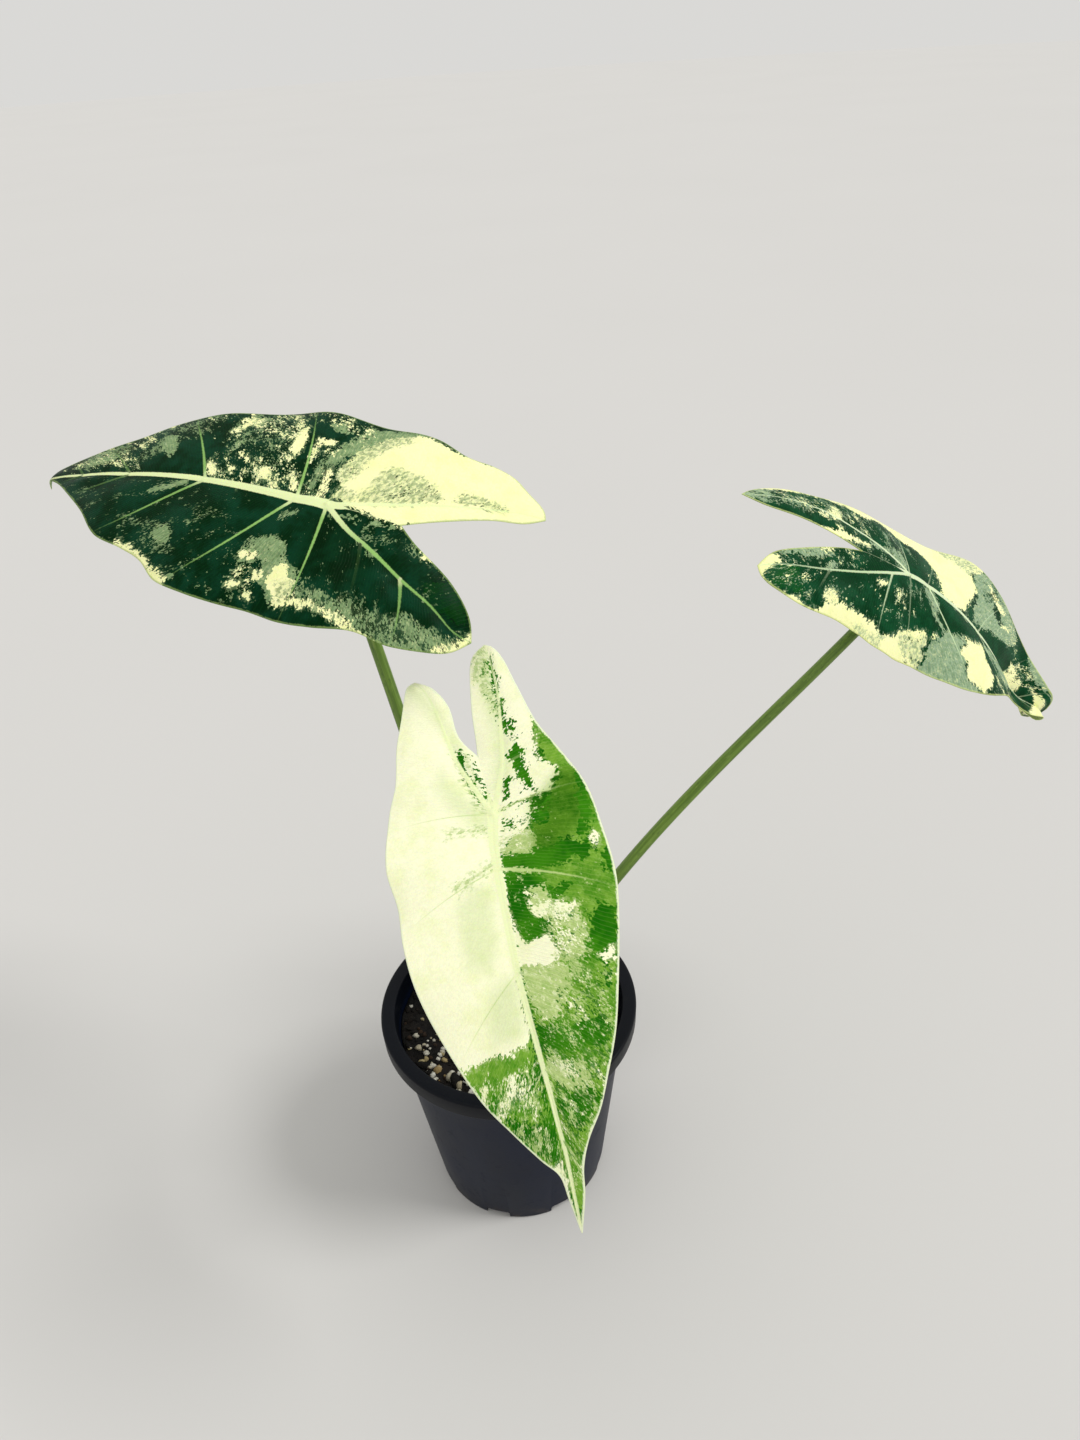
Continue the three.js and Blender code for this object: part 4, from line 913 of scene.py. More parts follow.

# deep: the tone that the fresh green turns to in patches; on the dark ground of the left and right leaves it
# is a lighter blue-green that is painted sheen
leafTones = {
    "left": {
        "dark": paint(0, 36, 10), "deep": paint(8, 56, 34), "fresh": paint(0, 56, 6),
        "line": paint(30, 92, 40), "grey": paint(132, 160, 112), "cream": paint(251, 252, 190),
        "butter": paint(240, 246, 172), "rib": paint(236, 248, 186), "lateral": paint(150, 196, 108),
        "margin": paint(150, 176, 104), "marginShow": 0.5, "under": paint(128, 156, 112), "wander": 6.5,
        "crumble": 4.4, "milky": 0.2,
    },
    "front": {
        "dark": paint(22, 104, 0), "deep": paint(58, 132, 12), "fresh": paint(122, 170, 56),
        "line": paint(176, 208, 112), "grey": paint(190, 210, 136), "cream": paint(252, 254, 216),
        "butter": paint(238, 246, 188), "rib": paint(240, 249, 194), "lateral": paint(192, 214, 138),
        "margin": paint(240, 248, 212), "marginShow": 0.9, "under": paint(176, 198, 132), "wander": 4.5,
        "crumble": 6.0, "milky": 0.45,
    },
    "right": {
        "dark": paint(0, 52, 22), "deep": paint(12, 72, 40), "fresh": paint(8, 82, 18),
        "line": paint(40, 112, 60), "grey": paint(148, 174, 140), "cream": paint(252, 253, 190),
        "butter": paint(238, 245, 172), "rib": paint(224, 240, 196), "lateral": paint(202, 224, 178),
        "margin": paint(208, 220, 140), "marginShow": 0.6, "under": paint(120, 152, 92), "wander": 6.0,
        "crumble": 4.4, "milky": 0.3,
    },
}

# the deeper zones multiply the colour under them by this. On the front leaf the first zone is its own olive
# and the soft patches on its pale parts are painted shade; on the left leaf they darken its dark half near the
# base and in the lobe.
deeperAndShadeTint = (0.43, 0.58, 0.28)


def markingFields(points, markings):
    # for every tone, how many millimetres each flat point lies inside its nearest outline
    fields = {}
    for tone in ("fresh", "grey", "cream", "shade", "dark"):
        found = np.full(len(points), -9.0)
        for outline in markings.get(tone, []):
            found = np.maximum(found, insideDistance(points, outline))
        fields[tone] = np.clip(found, -9, 9)
    # how thick the speckles lie, as a place on the bell curve
    shares = np.linspace(0.0005, 0.95, 200)
    places = np.array([NormalDist().inv_cdf(share) for share in shares])
    for kind in ("paleSpecks", "greySpecks", "darkSpecks"):
        cover = np.zeros(len(points))
        for amount, outline in markings.get(kind, []):
            cover = np.maximum(cover, amount * smoothRise(insideDistance(points, outline), -2.5, 2.5))
        fields[kind] = np.interp(cover, shares, places) - 1.5 * (cover < 0.001)
    # how much deeper the tone is, with a soft edge; partly painted shade
    fields["deeper"] = np.zeros(len(points))
    for amount, outline in markings.get("deeper", []):
        cover = amount * smoothRise(insideDistance(points, outline), -2.5, 2.5)
        fields["deeper"] = np.maximum(fields["deeper"], cover)
    return fields


def bladeFinish(name, tones):
    s = Shader(name)
    flat, vein = s.attribute("flatPlace"), s.attribute("veinPlace")
    block, blockPlace = s.cells(vein, (0.68, 0.52, 1.0))
    crumb, crumbPlace = s.cells(s.moved(vein, (31, 17, 5)), (0.42, 0.36, 1.0))

    def drift(place, step, stretch, detail=4.0):
        return s.noise(s.moved(place, step), stretch, detail, 0.62)

    wander = drift(blockPlace, (0, 0, 0), (0.2, 0.26, 1))
    crumble = drift(blockPlace, (9, 5, 3), (0.62, 0.9, 1), 2.0)
    clouds = drift(flat, (13, 29, 2), (0.11, 0.11, 1), 3.0)
    ragged = (wander - 0.5) * tones["wander"] + (crumble - 0.5) * tones["crumble"] + (block - 0.5) * 0.8

    # fine side veins between the laterals
    across = s.node("VectorMath", {"operation": "DOT_PRODUCT"}, [vein, (0, 1, 0)], "Value")
    rungs = (across / 0.95 + drift(flat, (3, 3, 7), (0.12, 0.12, 1), 1.0) * 2.2).math("FRACT")
    rungLine = s.smooth((rungs - 0.5).math("ABSOLUTE"), 0.3, 0.5)

    def patch(tone, wobble=1.0, softness=0.1):
        return s.smooth(s.number(tone) + ragged * wobble, -softness, softness)

    def spread(seed):
        # clusters, small grains and single cells together, about 1 wide either way
        clusters = drift(blockPlace, (seed, 4, seed), (0.19, 0.27, 1), 4.0)
        grains = drift(crumbPlace, (2, seed, 7), (0.56, 0.7, 1), 2.0)
        return (clusters - 0.5) * 9.0 + (grains - 0.5) * 3.4 + (crumb - 0.5) * 1.0

    # painted sheen: on the left and right leaves the deep tone is a lighter blue-green that stands in for the
    # velvet sheen, laid on the dark ground in soft clouds
    darkTone = s.mix(s.smooth(clouds, 0.38, 0.64), tones["dark"], tones["deep"])
    darkTone = s.mix(rungLine * 0.08, darkTone, tones["line"])
    mottle = drift(crumbPlace, (21, 6, 9), (0.52, 0.62, 1), 3.0)
    deepShare = s.smooth(clouds, 0.42, 0.6) * 0.55 + s.smooth(mottle, 0.46, 0.6) * 0.3
    freshTone = s.mix(deepShare, tones["fresh"], tones["deep"])
    freshTone = s.mix(rungLine * 0.16 + s.smooth(mottle, 0.46, 0.34) * 0.2, freshTone, tones["line"])
    freshShare = s.smooth(crumble, 0.42, 0.62) * 0.26 + s.smooth(mottle, 0.5, 0.62) * 0.22
    greyTone = s.mix(freshShare, tones["grey"], tones["fresh"])
    milk = rungLine * 0.12 + s.smooth(mottle, 0.46, 0.34) * tones["milky"]
    greyTone = s.mix(milk, greyTone, tones["cream"])
    creamTone = s.mix(s.smooth(clouds, 0.44, 0.68) * 0.6, tones["cream"], tones["butter"])

    colour = s.mix(patch("fresh"), darkTone, freshTone)
    colour = s.mix(patch("grey"), colour, greyTone)
    creamMask = patch("cream", 0.75)
    colour = s.mix(s.smooth(s.number("cream") + ragged, -0.9, -0.3) * 0.45, colour, greyTone)
    colour = s.mix(creamMask, colour, creamTone)
    shadeTone = s.mix(s.smooth(crumble, 0.42, 0.58) * 0.65 + 0.25, creamTone, greyTone)
    colour = s.mix(patch("shade", 0.9, 0.9) * creamMask * 0.85, colour, shadeTone)
    # partly painted shade: the deeper zones darken the colour under them
    colour = s.mix(s.number("deeper"), colour, s.scaled(colour, deeperAndShadeTint))
    colour = s.mix(patch("dark", 0.85), colour, darkTone)
    colour = s.mix(s.smooth(spread(3.0) + s.number("greySpecks"), -0.3, 0.4) * 0.85, colour, greyTone)
    pale = spread(5.0) + s.number("paleSpecks")
    colour = s.mix(s.smooth(pale, -0.25, 0.15) * 0.8, colour, greyTone)
    colour = s.mix(s.smooth(pale, 0.35, 0.65) * 0.95, colour, creamTone)
    colour = s.mix(s.smooth(spread(9.0) + s.number("darkSpecks"), -0.1, 0.15) * 0.88, colour, darkTone)
    colour = s.lit(colour, 0.95 + crumb * 0.08)

    # ribs and margin
    ribTone = s.mix(s.number("ribPale"), tones["lateral"], tones["rib"])
    ribMask = s.smooth(s.number("ribDepth") + (crumb - 0.5) * 0.12, -0.1, 0.22) * s.number("ribShow")
    colour = s.mix(ribMask, colour, ribTone)
    rim = s.smooth(s.number("marginDepth") + (wander - 0.5) * 1.2, 0.5, 0.15)
    colour = s.mix(rim * tones["marginShow"], colour, tones["margin"])
    colour = s.mix(s.number("underside") * 0.62, colour, tones["under"])

    relief = drift(flat, (1, 2, 3), (1.4, 1.4, 1), 3.0)
    height = relief * 0.5 + rungLine * 0.4 + crumb * 0.12
    roughness = 0.36 + creamMask * 0.06 + (wander - 0.5) * 0.2 + s.number("underside") * 0.2
    return s.finish(
        {"Subsurface Weight": 0.12, "Subsurface Radius": (0.7, 1.0, 0.25), "Subsurface Scale": 0.001,
         "Specular IOR Level": 0.035},
        {"Base Color": colour, "Roughness": roughness, "Normal": s.bump(height, 0.3, 0.00025)},
    )


def ridge(distance, width):
    return np.exp(-(distance / width) ** 2)


def layMap(piece, places, leaf):
    # both faces of the blade side by side, at one scale
    left, foot = bladeBuild["mapStart"]
    size = max(bladeBuild["mapSize"], leaf["tip"] + foot + 2)
    mesh = piece.data
    corners = np.zeros(len(mesh.loops), np.int32)
    mesh.loops.foreach_get("vertex_index", corners)
    spots = (places[corners] + (left, foot)) / size
    mesh.uv_layers.new(name="OFBake").data.foreach_set("uv", spots.astype(np.float32).ravel())


def bladeSheet(leaf):
    # the flat blade as one net of triangles, with the lines of its veins and its outline
    build = bladeBuild
    flats, lifts, veins, triangles, halves, ribLines = [], [], [], [], [], []
    offset = 0
    upperRows = ribRows(leaf)
    for half, way in ((leaf["right"], 1), (leaf["left"], -1)):
        grids, margin, costa, sinus = halfGrids(leaf, half, way, upperRows)
        halves.append((margin, sinus))
        costaLine = splinePoints(costa, np.linspace(0, 1, 90))
        ribLines.append((costaLine, leaf["costaWidth"], build["costaRaise"], half["costaPale"], 1))
        for (start, end), show in zip(lateralLines(leaf, half), half["veinShow"]):
            if start < 0:
                rib = splinePoints(costa, shareAtHeight(costa, np.array([start])))
            else:
                rib = np.array([[ribOffset(leaf, start), start]])
            tip = splinePoints(margin, shareAtHeight(margin, np.array([end])))
            line, _ = bowed(rib, tip, np.linspace(0, 1, 26), build["veinBow"])
            ribLines.append((line[0], leaf["lateralWidth"][way], build["lateralRaise"], None, show))
        for number, (grid, lift, along, across) in enumerate(grids):
            rows, columns = grid.shape[:2]
            flats.append(grid.reshape(-1, 2))
            lifts.append(lift.ravel())
            # the two halves lie far apart in the noise
            across = across.ravel() + build["veinApart"] * (way < 0)
            veins.append(np.stack([along.ravel(), across, 0 * along.ravel()], 1))
            at = np.arange(rows * columns).reshape(rows, columns) + offset
            a, b, c, d = at[:-1, :-1].ravel(), at[:-1, 1:].ravel(), at[1:, 1:].ravel(), at[1:, :-1].ravel()
            if (way < 0) != (number == 1):
                b, d = d, b
            triangles += [np.stack([a, b, c], 1), np.stack([a, c, d], 1)]
            offset += rows * columns
    # points that two grids share become one
    flat, lift, vein = np.concatenate(flats), np.concatenate(lifts), np.concatenate(veins)
    _, first, merged = np.unique(np.round(flat, 4), axis=0, return_index=True, return_inverse=True)
    triangle = merged.ravel()[np.concatenate(triangles)]
    a, b, c = triangle.T
    triangle = triangle[(a != b) & (b != c) & (a != c)]
    # the outline from the notch round the right half to the tip, and back round the left half
    (rightMargin, rightSinus), (leftMargin, leftSinus) = halves
    lines = [(rightSinus, 160, 0), (rightMargin, 600, 0), (leftMargin, 600, 1), (leftSinus, 160, 1)]
    outline = np.vstack([rightSinus[:1]] + [
        splinePoints(line, np.linspace(start, 1 - start, count)) for line, count, start in lines])
    return flat[first], lift[first], vein[first], triangle, ribLines, outline


def veinRelief(leaf, flat, ribLines):
    # for each flat point: how deep it lies in a vein, how pale and how clear that is, its raise and its keel
    build = bladeBuild
    x, y = flat.T
    midrib = np.array([[ribOffset(leaf, v), v] for v in np.linspace(0, leaf["tip"], 100)])
    midrib = np.vstack([[[0, leaf["notch"]]], midrib])
    distance, _ = distanceToLine(flat, midrib)
    ahead = np.clip(y / leaf["tip"], 0, 1)
    wideStart, wideEnd = leaf["ribWidth"]
    wide = wideStart + (wideEnd - wideStart) * ahead ** 0.6
    wide = np.where(y < 0, wide * np.clip(1 + y / 7, 0.05, 1), wide)
    ribDepth = np.maximum(wide - distance, -9)
    ribPale, ribShow = np.ones(len(flat)), np.full(len(flat), 0.92)
    full = build["fullRib"]
    raised = build["ribRaise"] * (wide / full) * ridge(distance, wide * 0.9)
    raised -= build["groove"] * (wide / full) * ridge(distance - wide * 1.7, wide * 0.7)
    keelStart, keelEnd = build["keel"]
    keel = (keelStart + (keelEnd - keelStart) * ahead) * ridge(distance, 1.5 * wide / full + 0.3)
    keel = keel * np.where(y < 0, np.clip(1 + y / 12, 0, 1), 1)
    for line, width, height, costaPale, show in ribLines:
        distance, share = distanceToLine(flat, line)
        wide = width[0] + (width[1] - width[0]) * share ** 0.8
        depth = wide - distance
        nearest = depth > ribDepth
        ribDepth = np.where(nearest, depth, ribDepth)
        lateral = costaPale is None
        strong = (0.9 - (0.75 if lateral else 0.35) * smoothRise(share, 0.45, 1.0)) * show
        ribShow = np.where(nearest, strong, ribShow)
        paleTo = 0.16 if lateral else (3 if costaPale else 0.4)
        ribPale = np.where(nearest, 1 - smoothRise(share, 0, paleTo), ribPale)
        fade = 1 - 0.75 * share
        raised += height * fade * ridge(distance, wide) - build["groove"] * fade * ridge(distance, wide * 3.2)
        deep = build["lateralKeel"] if lateral else keelStart * 0.8
        keel = np.maximum(keel, deep * fade * ridge(distance, wide * 1.3 + 0.2))
    keel = keel + build["jointSwell"] * ridge(np.hypot(x, y), build["jointRadius"])
    return ribDepth, ribPale, ribShow, raised, keel


def bladeSolid(leaf, flat, lift, triangle, marginDepth, raised, keel):
    # the bent sheet as a closed body: an upper face, a lower one and a rounded edge
    build = bladeBuild
    x, y = flat.T
    centre = bentPlaces(leaf, x, y, lift)
    step = np.where(x < ribOffset(leaf, y), -0.5, 0.5)
    alongX = (bentPlaces(leaf, x + step, y, lift) - centre) * np.sign(step)[:, None]
    alongY = bentPlaces(leaf, x, y + 0.5, lift) - centre
    normal = np.cross(alongX, alongY)
    normal /= np.linalg.norm(normal, axis=1, keepdims=True)
    thin = smoothRise(marginDepth, 0, 3)
    half = (build["marginThickness"] + (build["thickness"] - build["marginThickness"]) * thin)[:, None] / 2
    settle = smoothRise(marginDepth, 0, 1.5)[:, None]
    upper = centre + normal * (half + raised[:, None] * settle)
    lower = centre - normal * (half + keel[:, None] * settle)

    count = len(flat)
    edges = np.concatenate([triangle[:, [0, 1]], triangle[:, [1, 2]], triangle[:, [2, 0]]])
    codes = edges[:, 0] * count + edges[:, 1]
    rim = edges[~np.isin(codes, edges[:, 1] * count + edges[:, 0])]
    rimPoints = np.unique(rim)
    middle = np.full(count, -1)
    middle[rimPoints] = 2 * count + np.arange(len(rimPoints))
    outward = np.zeros((count, 3))
    rimSteps = centre[rim[:, 1]] - centre[rim[:, 0]]
    for end in (0, 1):
        np.add.at(outward, rim[:, end], np.cross(rimSteps, normal[rim[:, end]]))
    outward = outward[rimPoints]
    outward /= np.maximum(np.linalg.norm(outward, axis=1, keepdims=True), 1e-9)
    points = np.concatenate([upper, lower, centre[rimPoints] + outward * build["edgeBulge"]])
    p, q = rim.T
    faces = np.concatenate([
        triangle, triangle[:, ::-1] + count,
        np.stack([p, middle[p], middle[q]], 1), np.stack([p, middle[q], q], 1),
        np.stack([middle[p], p + count, q + count], 1), np.stack([middle[p], q + count, middle[q]], 1)])
    return points, faces, rimPoints


def makeBlade(name, leaf):
    flat, lift, vein, triangle, ribLines, outline = bladeSheet(leaf)
    ribDepth, ribPale, ribShow, raised, keel = veinRelief(leaf, flat, ribLines)
    marginDepth, _ = distanceToLine(flat, outline)
    points, faces, rimPoints = bladeSolid(leaf, flat, lift, triangle, marginDepth, raised, keel)
    material = bladeFinish("leaf_blade_" + name, leafTones[name])
    piece = pieceFrom("blade_" + name, points, faces, material, ["leaf_" + name])
    # every point of the body takes its numbers from the flat point that it came from
    count = len(flat)
    keep = np.concatenate([np.arange(count), np.arange(count), rimPoints])
    addVectors(piece, "flatPlace", np.column_stack([flat, 0 * flat[:, 0]])[keep])
    addVectors(piece, "veinPlace", vein[keep])
    addNumbers(piece, "ribDepth", np.clip(ribDepth, -4, 4)[keep])
    addNumbers(piece, "ribPale", ribPale[keep])
    addNumbers(piece, "ribShow", ribShow[keep])
    addNumbers(piece, "marginDepth", marginDepth[keep])
    underside = np.concatenate([np.zeros(count), np.ones(count), np.full(len(rimPoints), 0.3)])
    addNumbers(piece, "underside", underside)
    for field, values in markingFields(flat, leafMarkings[name]).items():
        addNumbers(piece, field, values[keep])
    layMap(piece, np.concatenate([flat, flat + bladeBuild["mapApart"], flat[rimPoints]]), leaf)
    print("blade", name, len(points), "points", len(faces), "faces")


for leafName, leafShape in leafShapes.items():
    makeBlade(leafName, leafShape)


stalkBuild = {
    "sides": 22, "rings": 130, "foot": 72, "seatDrop": 1.15, "jointSwell": 0.2,
    "sheathTop": 0.2, "sheathWidth": 0.575, "sheathHollow": 0.45,
    "paints": {
        "green": paint(86, 116, 34), "light": paint(116, 146, 54), "mottle": paint(144, 168, 84),
        "freckle": paint(56, 86, 24), "top": paint(170, 196, 104), "foot": paint(150, 156, 104),
    },
}


def stalkLine(leaf, shares):
    x, y = leaf["stalk"]["base"]
    foot = np.array([x, y, stalkBuild["foot"]], float)
    seat = np.array(leaf["seat"]) - bladePose(leaf)[2] * stalkBuild["seatDrop"]
    rise = leaf["stalk"]["rise"]
    first = foot + (seat - foot) / 3 + np.array([0, 0, rise[0]])
    second = foot + (seat - foot) * 2 / 3 + np.array([0, 0, rise[1]])
    t = np.asarray(shares)[:, None]
    return (1 - t) ** 3 * foot + 3 * (1 - t) ** 2 * t * first + 3 * (1 - t) * t * t * second + t ** 3 * seat


def stalkFinish():
    s = Shader("leaf_stalk_green")
    paints = stalkBuild["paints"]
    place = s.attribute("stalkPlace")
    long = s.noise(place, (0.035, 1.6, 1.6), 4.0, 0.6)
    mottle = s.noise(place, (0.28, 0.9, 0.9), 4.0, 0.65)
    freckle, _ = s.cells(place, (1.1, 0.6, 0.6), "EUCLIDEAN")
    colour = s.mix(s.smooth(long, 0.36, 0.66), paints["green"], paints["light"])
    colour = s.mix(s.smooth(mottle, 0.56, 0.72) * 0.45, colour, paints["mottle"])
    colour = s.mix(s.smooth(freckle, 0.9, 0.96) * 0.35, colour, paints["freckle"])
    top = s.smooth(s.number("stalkShare"), 0.93, 1.0)
    colour = s.mix(top * 0.6, colour, paints["top"])
    foot = s.smooth(s.number("stalkShare"), 0.16, 0.0)
    colour = s.mix(foot * 0.55, colour, paints["foot"])
    height = long * 0.8 + mottle * 0.3
    return s.finish(
        {"Subsurface Weight": 0.15, "Subsurface Radius": (0.6, 1.0, 0.25), "Subsurface Scale": 0.002,
         "Specular IOR Level": 0.45},
        {"Base Color": colour, "Roughness": 0.34 + mottle * 0.2, "Normal": s.bump(height, 0.3, 0.0003)},
    )


stalkGreen = stalkFinish()


def makeStalk(name, leaf):
    build = stalkBuild
    shares = crowded(build["rings"], 0.5)
    line = stalkLine(leaf, shares)
    tangent = np.gradient(line, axis=0)
    tangent /= np.linalg.norm(tangent, axis=1, keepdims=True)
    away = np.array([leaf["seat"][0], leaf["seat"][1], 0]) + np.array([0, 0, 1e-3])
    away /= np.linalg.norm(away)
    side = np.cross(tangent, away)
    side /= np.linalg.norm(side, axis=1, keepdims=True)
    back = np.cross(side, tangent)
    lengths = runningSum(stepLengths(line))
    share = lengths / lengths[-1]
    low, high = leaf["stalk"]["radii"]
    radius = low + (high - low) * share ** 0.7
    radius *= 1 + build["jointSwell"] * ridge(share - 1, 0.022)
    sheath = smoothRise(build["sheathTop"] - share, 0, build["sheathTop"])
    angles = np.arange(build["sides"]) * 2 * math.pi / build["sides"]
    rings = []
    for i, centre in enumerate(line):
        # the sheath is wider and hollowed on the side that faces the stem
        inward = np.clip(-np.cos(angles), 0, 1)
        wider = 1 + build["sheathWidth"] * sheath[i] * np.abs(np.sin(angles))
        r = radius[i] * (wider - build["sheathHollow"] * sheath[i] * inward ** 2)
        r = r * (1 + 0.02 * np.cos(5 * angles + 2 * share[i]))
        toBack, toSide = (r * np.cos(angles))[:, None], (r * np.sin(angles))[:, None]
        rings.append(centre + back[i] * toBack + side[i] * toSide)
    points = np.concatenate(rings + [line[:1], line[-1:]])
    sides, count = build["sides"], build["rings"]
    faces = tubeFaces(sides, count)
    piece = pieceFrom("stalk_" + name, points, faces, stalkGreen, ["petiole_" + name])
    turns = np.tile(angles, count)
    along = np.repeat(lengths, sides)
    place = np.stack([along, 2 * np.cos(turns), 2 * np.sin(turns)], 1)
    place = np.concatenate([place, [[0, 0, 0], [lengths[-1], 0, 0]]])
    # each stalk lies in its own part of the noise
    place[:, 1:] += {"left": 0, "front": 11, "right": 23}[name]
    addVectors(piece, "stalkPlace", place)
    addNumbers(piece, "stalkShare", np.concatenate([np.repeat(share, sides), [0, 1]]))


for leafName, leafShape in leafShapes.items():
    makeStalk(leafName, leafShape)
print("stalks made")


crownBuild = {
    "foot": 60, "top": 84, "radius": 6.6, "topRadius": 3.4, "tipRise": 0.8, "levels": 46, "sides": 72,
    "sheath": 3.4, "blend": 2.2,
    "paints": {"green": paint(126, 132, 74), "stain": paint(112, 84, 50), "bands": paint(72, 50, 32)},
}


def crownFinish():
    s = Shader("stem_base")
    paints = crownBuild["paints"]
    place = s.place()
    bands = s.noise(place, (120, 120, 900), 4.0, 0.6)
    stain = s.noise(place, (260, 260, 160), 4.0, 0.6)
    colour = s.mix(s.smooth(stain, 0.4, 0.62), paints["green"], paints["stain"])
    colour = s.mix(s.smooth(bands, 0.55, 0.7) * 0.6, colour, paints["bands"])
    return s.finish({"Specular IOR Level": 0.3}, {
        "Base Color": colour, "Roughness": 0.55 + bands * 0.3, "Normal": s.bump(bands + stain, 0.5, 0.0005)})


def makeCrown():
    # a short stem wrapped by the stalks' sheaths: at each level the outline goes round all of them
    build = crownBuild
    angles = np.arange(build["sides"]) * 2 * math.pi / build["sides"]
    rays = np.stack([np.cos(angles), np.sin(angles)], 1)
    fine = np.linspace(0, 0.4, 400)
    lines = [stalkLine(leaf, fine) for leaf in leafShapes.values()]
    rings = []
    for height in np.linspace(build["foot"], build["top"], build["levels"]):
        t = (height - build["foot"]) / (build["top"] - build["foot"])
        core = build["radius"] + (build["topRadius"] - build["radius"]) * smoothRise(t, 0.3, 1.0)
        core *= smoothRise(t, -0.15, 0.14)
        reach = np.full(len(angles), core)
        for line in lines:
            cx, cy = [np.interp(max(height, stalkBuild["foot"]), line[:, 2], line[:, k]) for k in (0, 1)]
            r = build["sheath"] * (1 - 0.42 * smoothRise(t, 0.45, 1.0))
            along = rays @ np.array([cx, cy])
            under = r * r - (cx * cx + cy * cy) + along ** 2
            hit = np.where(under > 0, along + np.sqrt(np.maximum(under, 0)), 0)
            reach = np.logaddexp(reach * build["blend"], hit * build["blend"]) / build["blend"]
        creases = 0.16 * np.sin(height * 1.9 + 2 * np.sin(angles * 2)) * smoothRise(t, 0.1, 0.5)
        wobble = 0.25 * np.sin(3 * angles + height * 0.21)
        reach = reach + creases * 0.5 + wobble * (1 - t)
        rings.append(np.column_stack([rays * reach[:, None], np.full(len(angles), height)]))
    points = np.concatenate(rings + [[[0, 0, build["foot"]]], [[0, 0, build["top"] + build["tipRise"]]]])
    faces = tubeFaces(build["sides"], build["levels"])
    pieceFrom("stem_base", points, faces, crownFinish(), ["crown"])


makeCrown()
print("stem base made")


potBuild = {
    "rim": 44.5, "height": 81.4, "foot": 31, "wall": 1.2, "lip": 3.6, "lipDrop": 6.5,
    "slots": 8, "slotWidth": 9, "slotHeight": 3.5, "slotDepth": 5, "slotRounding": 1.1, "firstSlot": -108,
    "segments": 168, "sharpAngle": 38,
    "paints": {
        # rim is painted shade: a near-black laid over the top of the pot, not a colour of the plastic
        "black": paint(6, 14, 32), "haze": paint(12, 21, 42), "rim": paint(3, 5, 8), "dust": paint(84, 82, 80),
        "splash": paint(96, 84, 68),
    },
}


def potWall(height):
    # the outer radius of the wall
    top = potBuild["rim"] - potBuild["lip"]
    return potBuild["foot"] + (top - potBuild["foot"]) * height / potBuild["height"]


def potFinish():
    s = Shader("pot_black_plastic")
    paints = potBuild["paints"]
    place = s.place()
    grain = s.noise(place, (1500, 1500, 1500), 2.0, 0.5)
    drawn = s.noise(place, (500, 500, 22), 3.0, 0.6)
    haze = s.noise(place, (42, 42, 30), 4.0, 0.6)
    dust = s.noise(s.moved(place, (0.3, 0.2, 0.1)), (170, 170, 170), 5.0, 0.7)
    height = s.node("SeparateXYZ", {}, [place], "Z") * 1000  # in millimetres
    colour = s.mix(s.smooth(haze, 0.35, 0.7), paints["black"], paints["haze"])
    # painted shade: the rim and the top of the inner wall are painted near black from 73 mm up
    colour = s.mix(s.smooth(height, 73, 76) * 0.85, colour, paints["rim"])
    colour = s.mix(s.smooth(dust, 0.6, 0.78) * 0.12, colour, paints["dust"])
    colour = s.mix(s.smooth(height, 9, 0) * s.smooth(dust, 0.45, 0.7) * 0.4, colour, paints["splash"])
    roughness = 0.36 + haze * 0.14 + s.smooth(dust, 0.55, 0.8) * 0.2
    return s.finish({"Specular IOR Level": 0.14}, {
        "Base Color": colour, "Roughness": roughness,
        "Normal": s.bump(grain * 0.5 + drawn * 0.8, 0.22, 0.0002)})


def makePot():
    b = potBuild
    top, wall = b["height"], b["wall"]
    skirt = b["rim"] - wall
    profile = roundedProfile([
        (0, 0.9, 0), (b["foot"] - 9, 0.9, 1.0), (b["foot"] - 6, 0, 0.8), (b["foot"], 0, 1.0),
        (potWall(30), 30, 0), (potWall(60), 60, 0),
        (potWall(top - wall), top - wall, 0.5), (skirt, top - wall, 0.5),
        (skirt - 0.15, top - b["lipDrop"], 0.35), (b["rim"] - 0.2, top - b["lipDrop"], 0.4),
        (b["rim"], top, 1.1),
        (potWall(top) - wall, top, 0.9), (potWall(60) - wall, 60, 0), (potWall(wall) - wall, wall + 0.9, 0.8),
        (0, wall + 0.9, 0),
    ])
    points, faces = turned(profile, b["segments"])
    pot = pieceFrom("nursery_pot", points, faces, potFinish(), ["pot"])
    # drainage slots with rounded corners
    cutter = bmesh.new()
    for i in range(b["slots"]):
        made = bmesh.ops.create_cube(cutter, size=1)["verts"]
        size = Vector((b["slotDepth"] * 2, b["slotWidth"], b["slotHeight"] * 2)) * mm
        bmesh.ops.scale(cutter, vec=size, verts=made)
        bmesh.ops.translate(cutter, vec=(b["foot"] * mm, 0, 0), verts=made)
        turn = Matrix.Rotation(math.radians(b["firstSlot"] + i * 360 / b["slots"]), 3, "Z")
        bmesh.ops.rotate(cutter, cent=(0, 0, 0), matrix=turn, verts=made)
    rounding = b["slotRounding"] * mm
    bmesh.ops.bevel(cutter, geom=cutter.edges[:], offset=rounding, segments=3, affect="EDGES", profile=0.5)
    mesh = bpy.data.meshes.new("slot_cutter")
    cutter.to_mesh(mesh)
    cutter.free()
    tool = bpy.data.objects.new("slot_cutter", mesh)
    bpy.context.scene.collection.objects.link(tool)
    cut = pot.modifiers.new("slots", "BOOLEAN")
    cut.operation, cut.object, cut.solver = "DIFFERENCE", tool, "EXACT"
    applied = bpy.data.meshes.new_from_object(pot.evaluated_get(bpy.context.evaluated_depsgraph_get()))
    pot.modifiers.clear()
    pot.data = applied
    bpy.data.objects.remove(tool)
    applied.shade_smooth()
    applied.set_sharp_from_angle(angle=math.radians(b["sharpAngle"]))


makePot()
print("pot made")


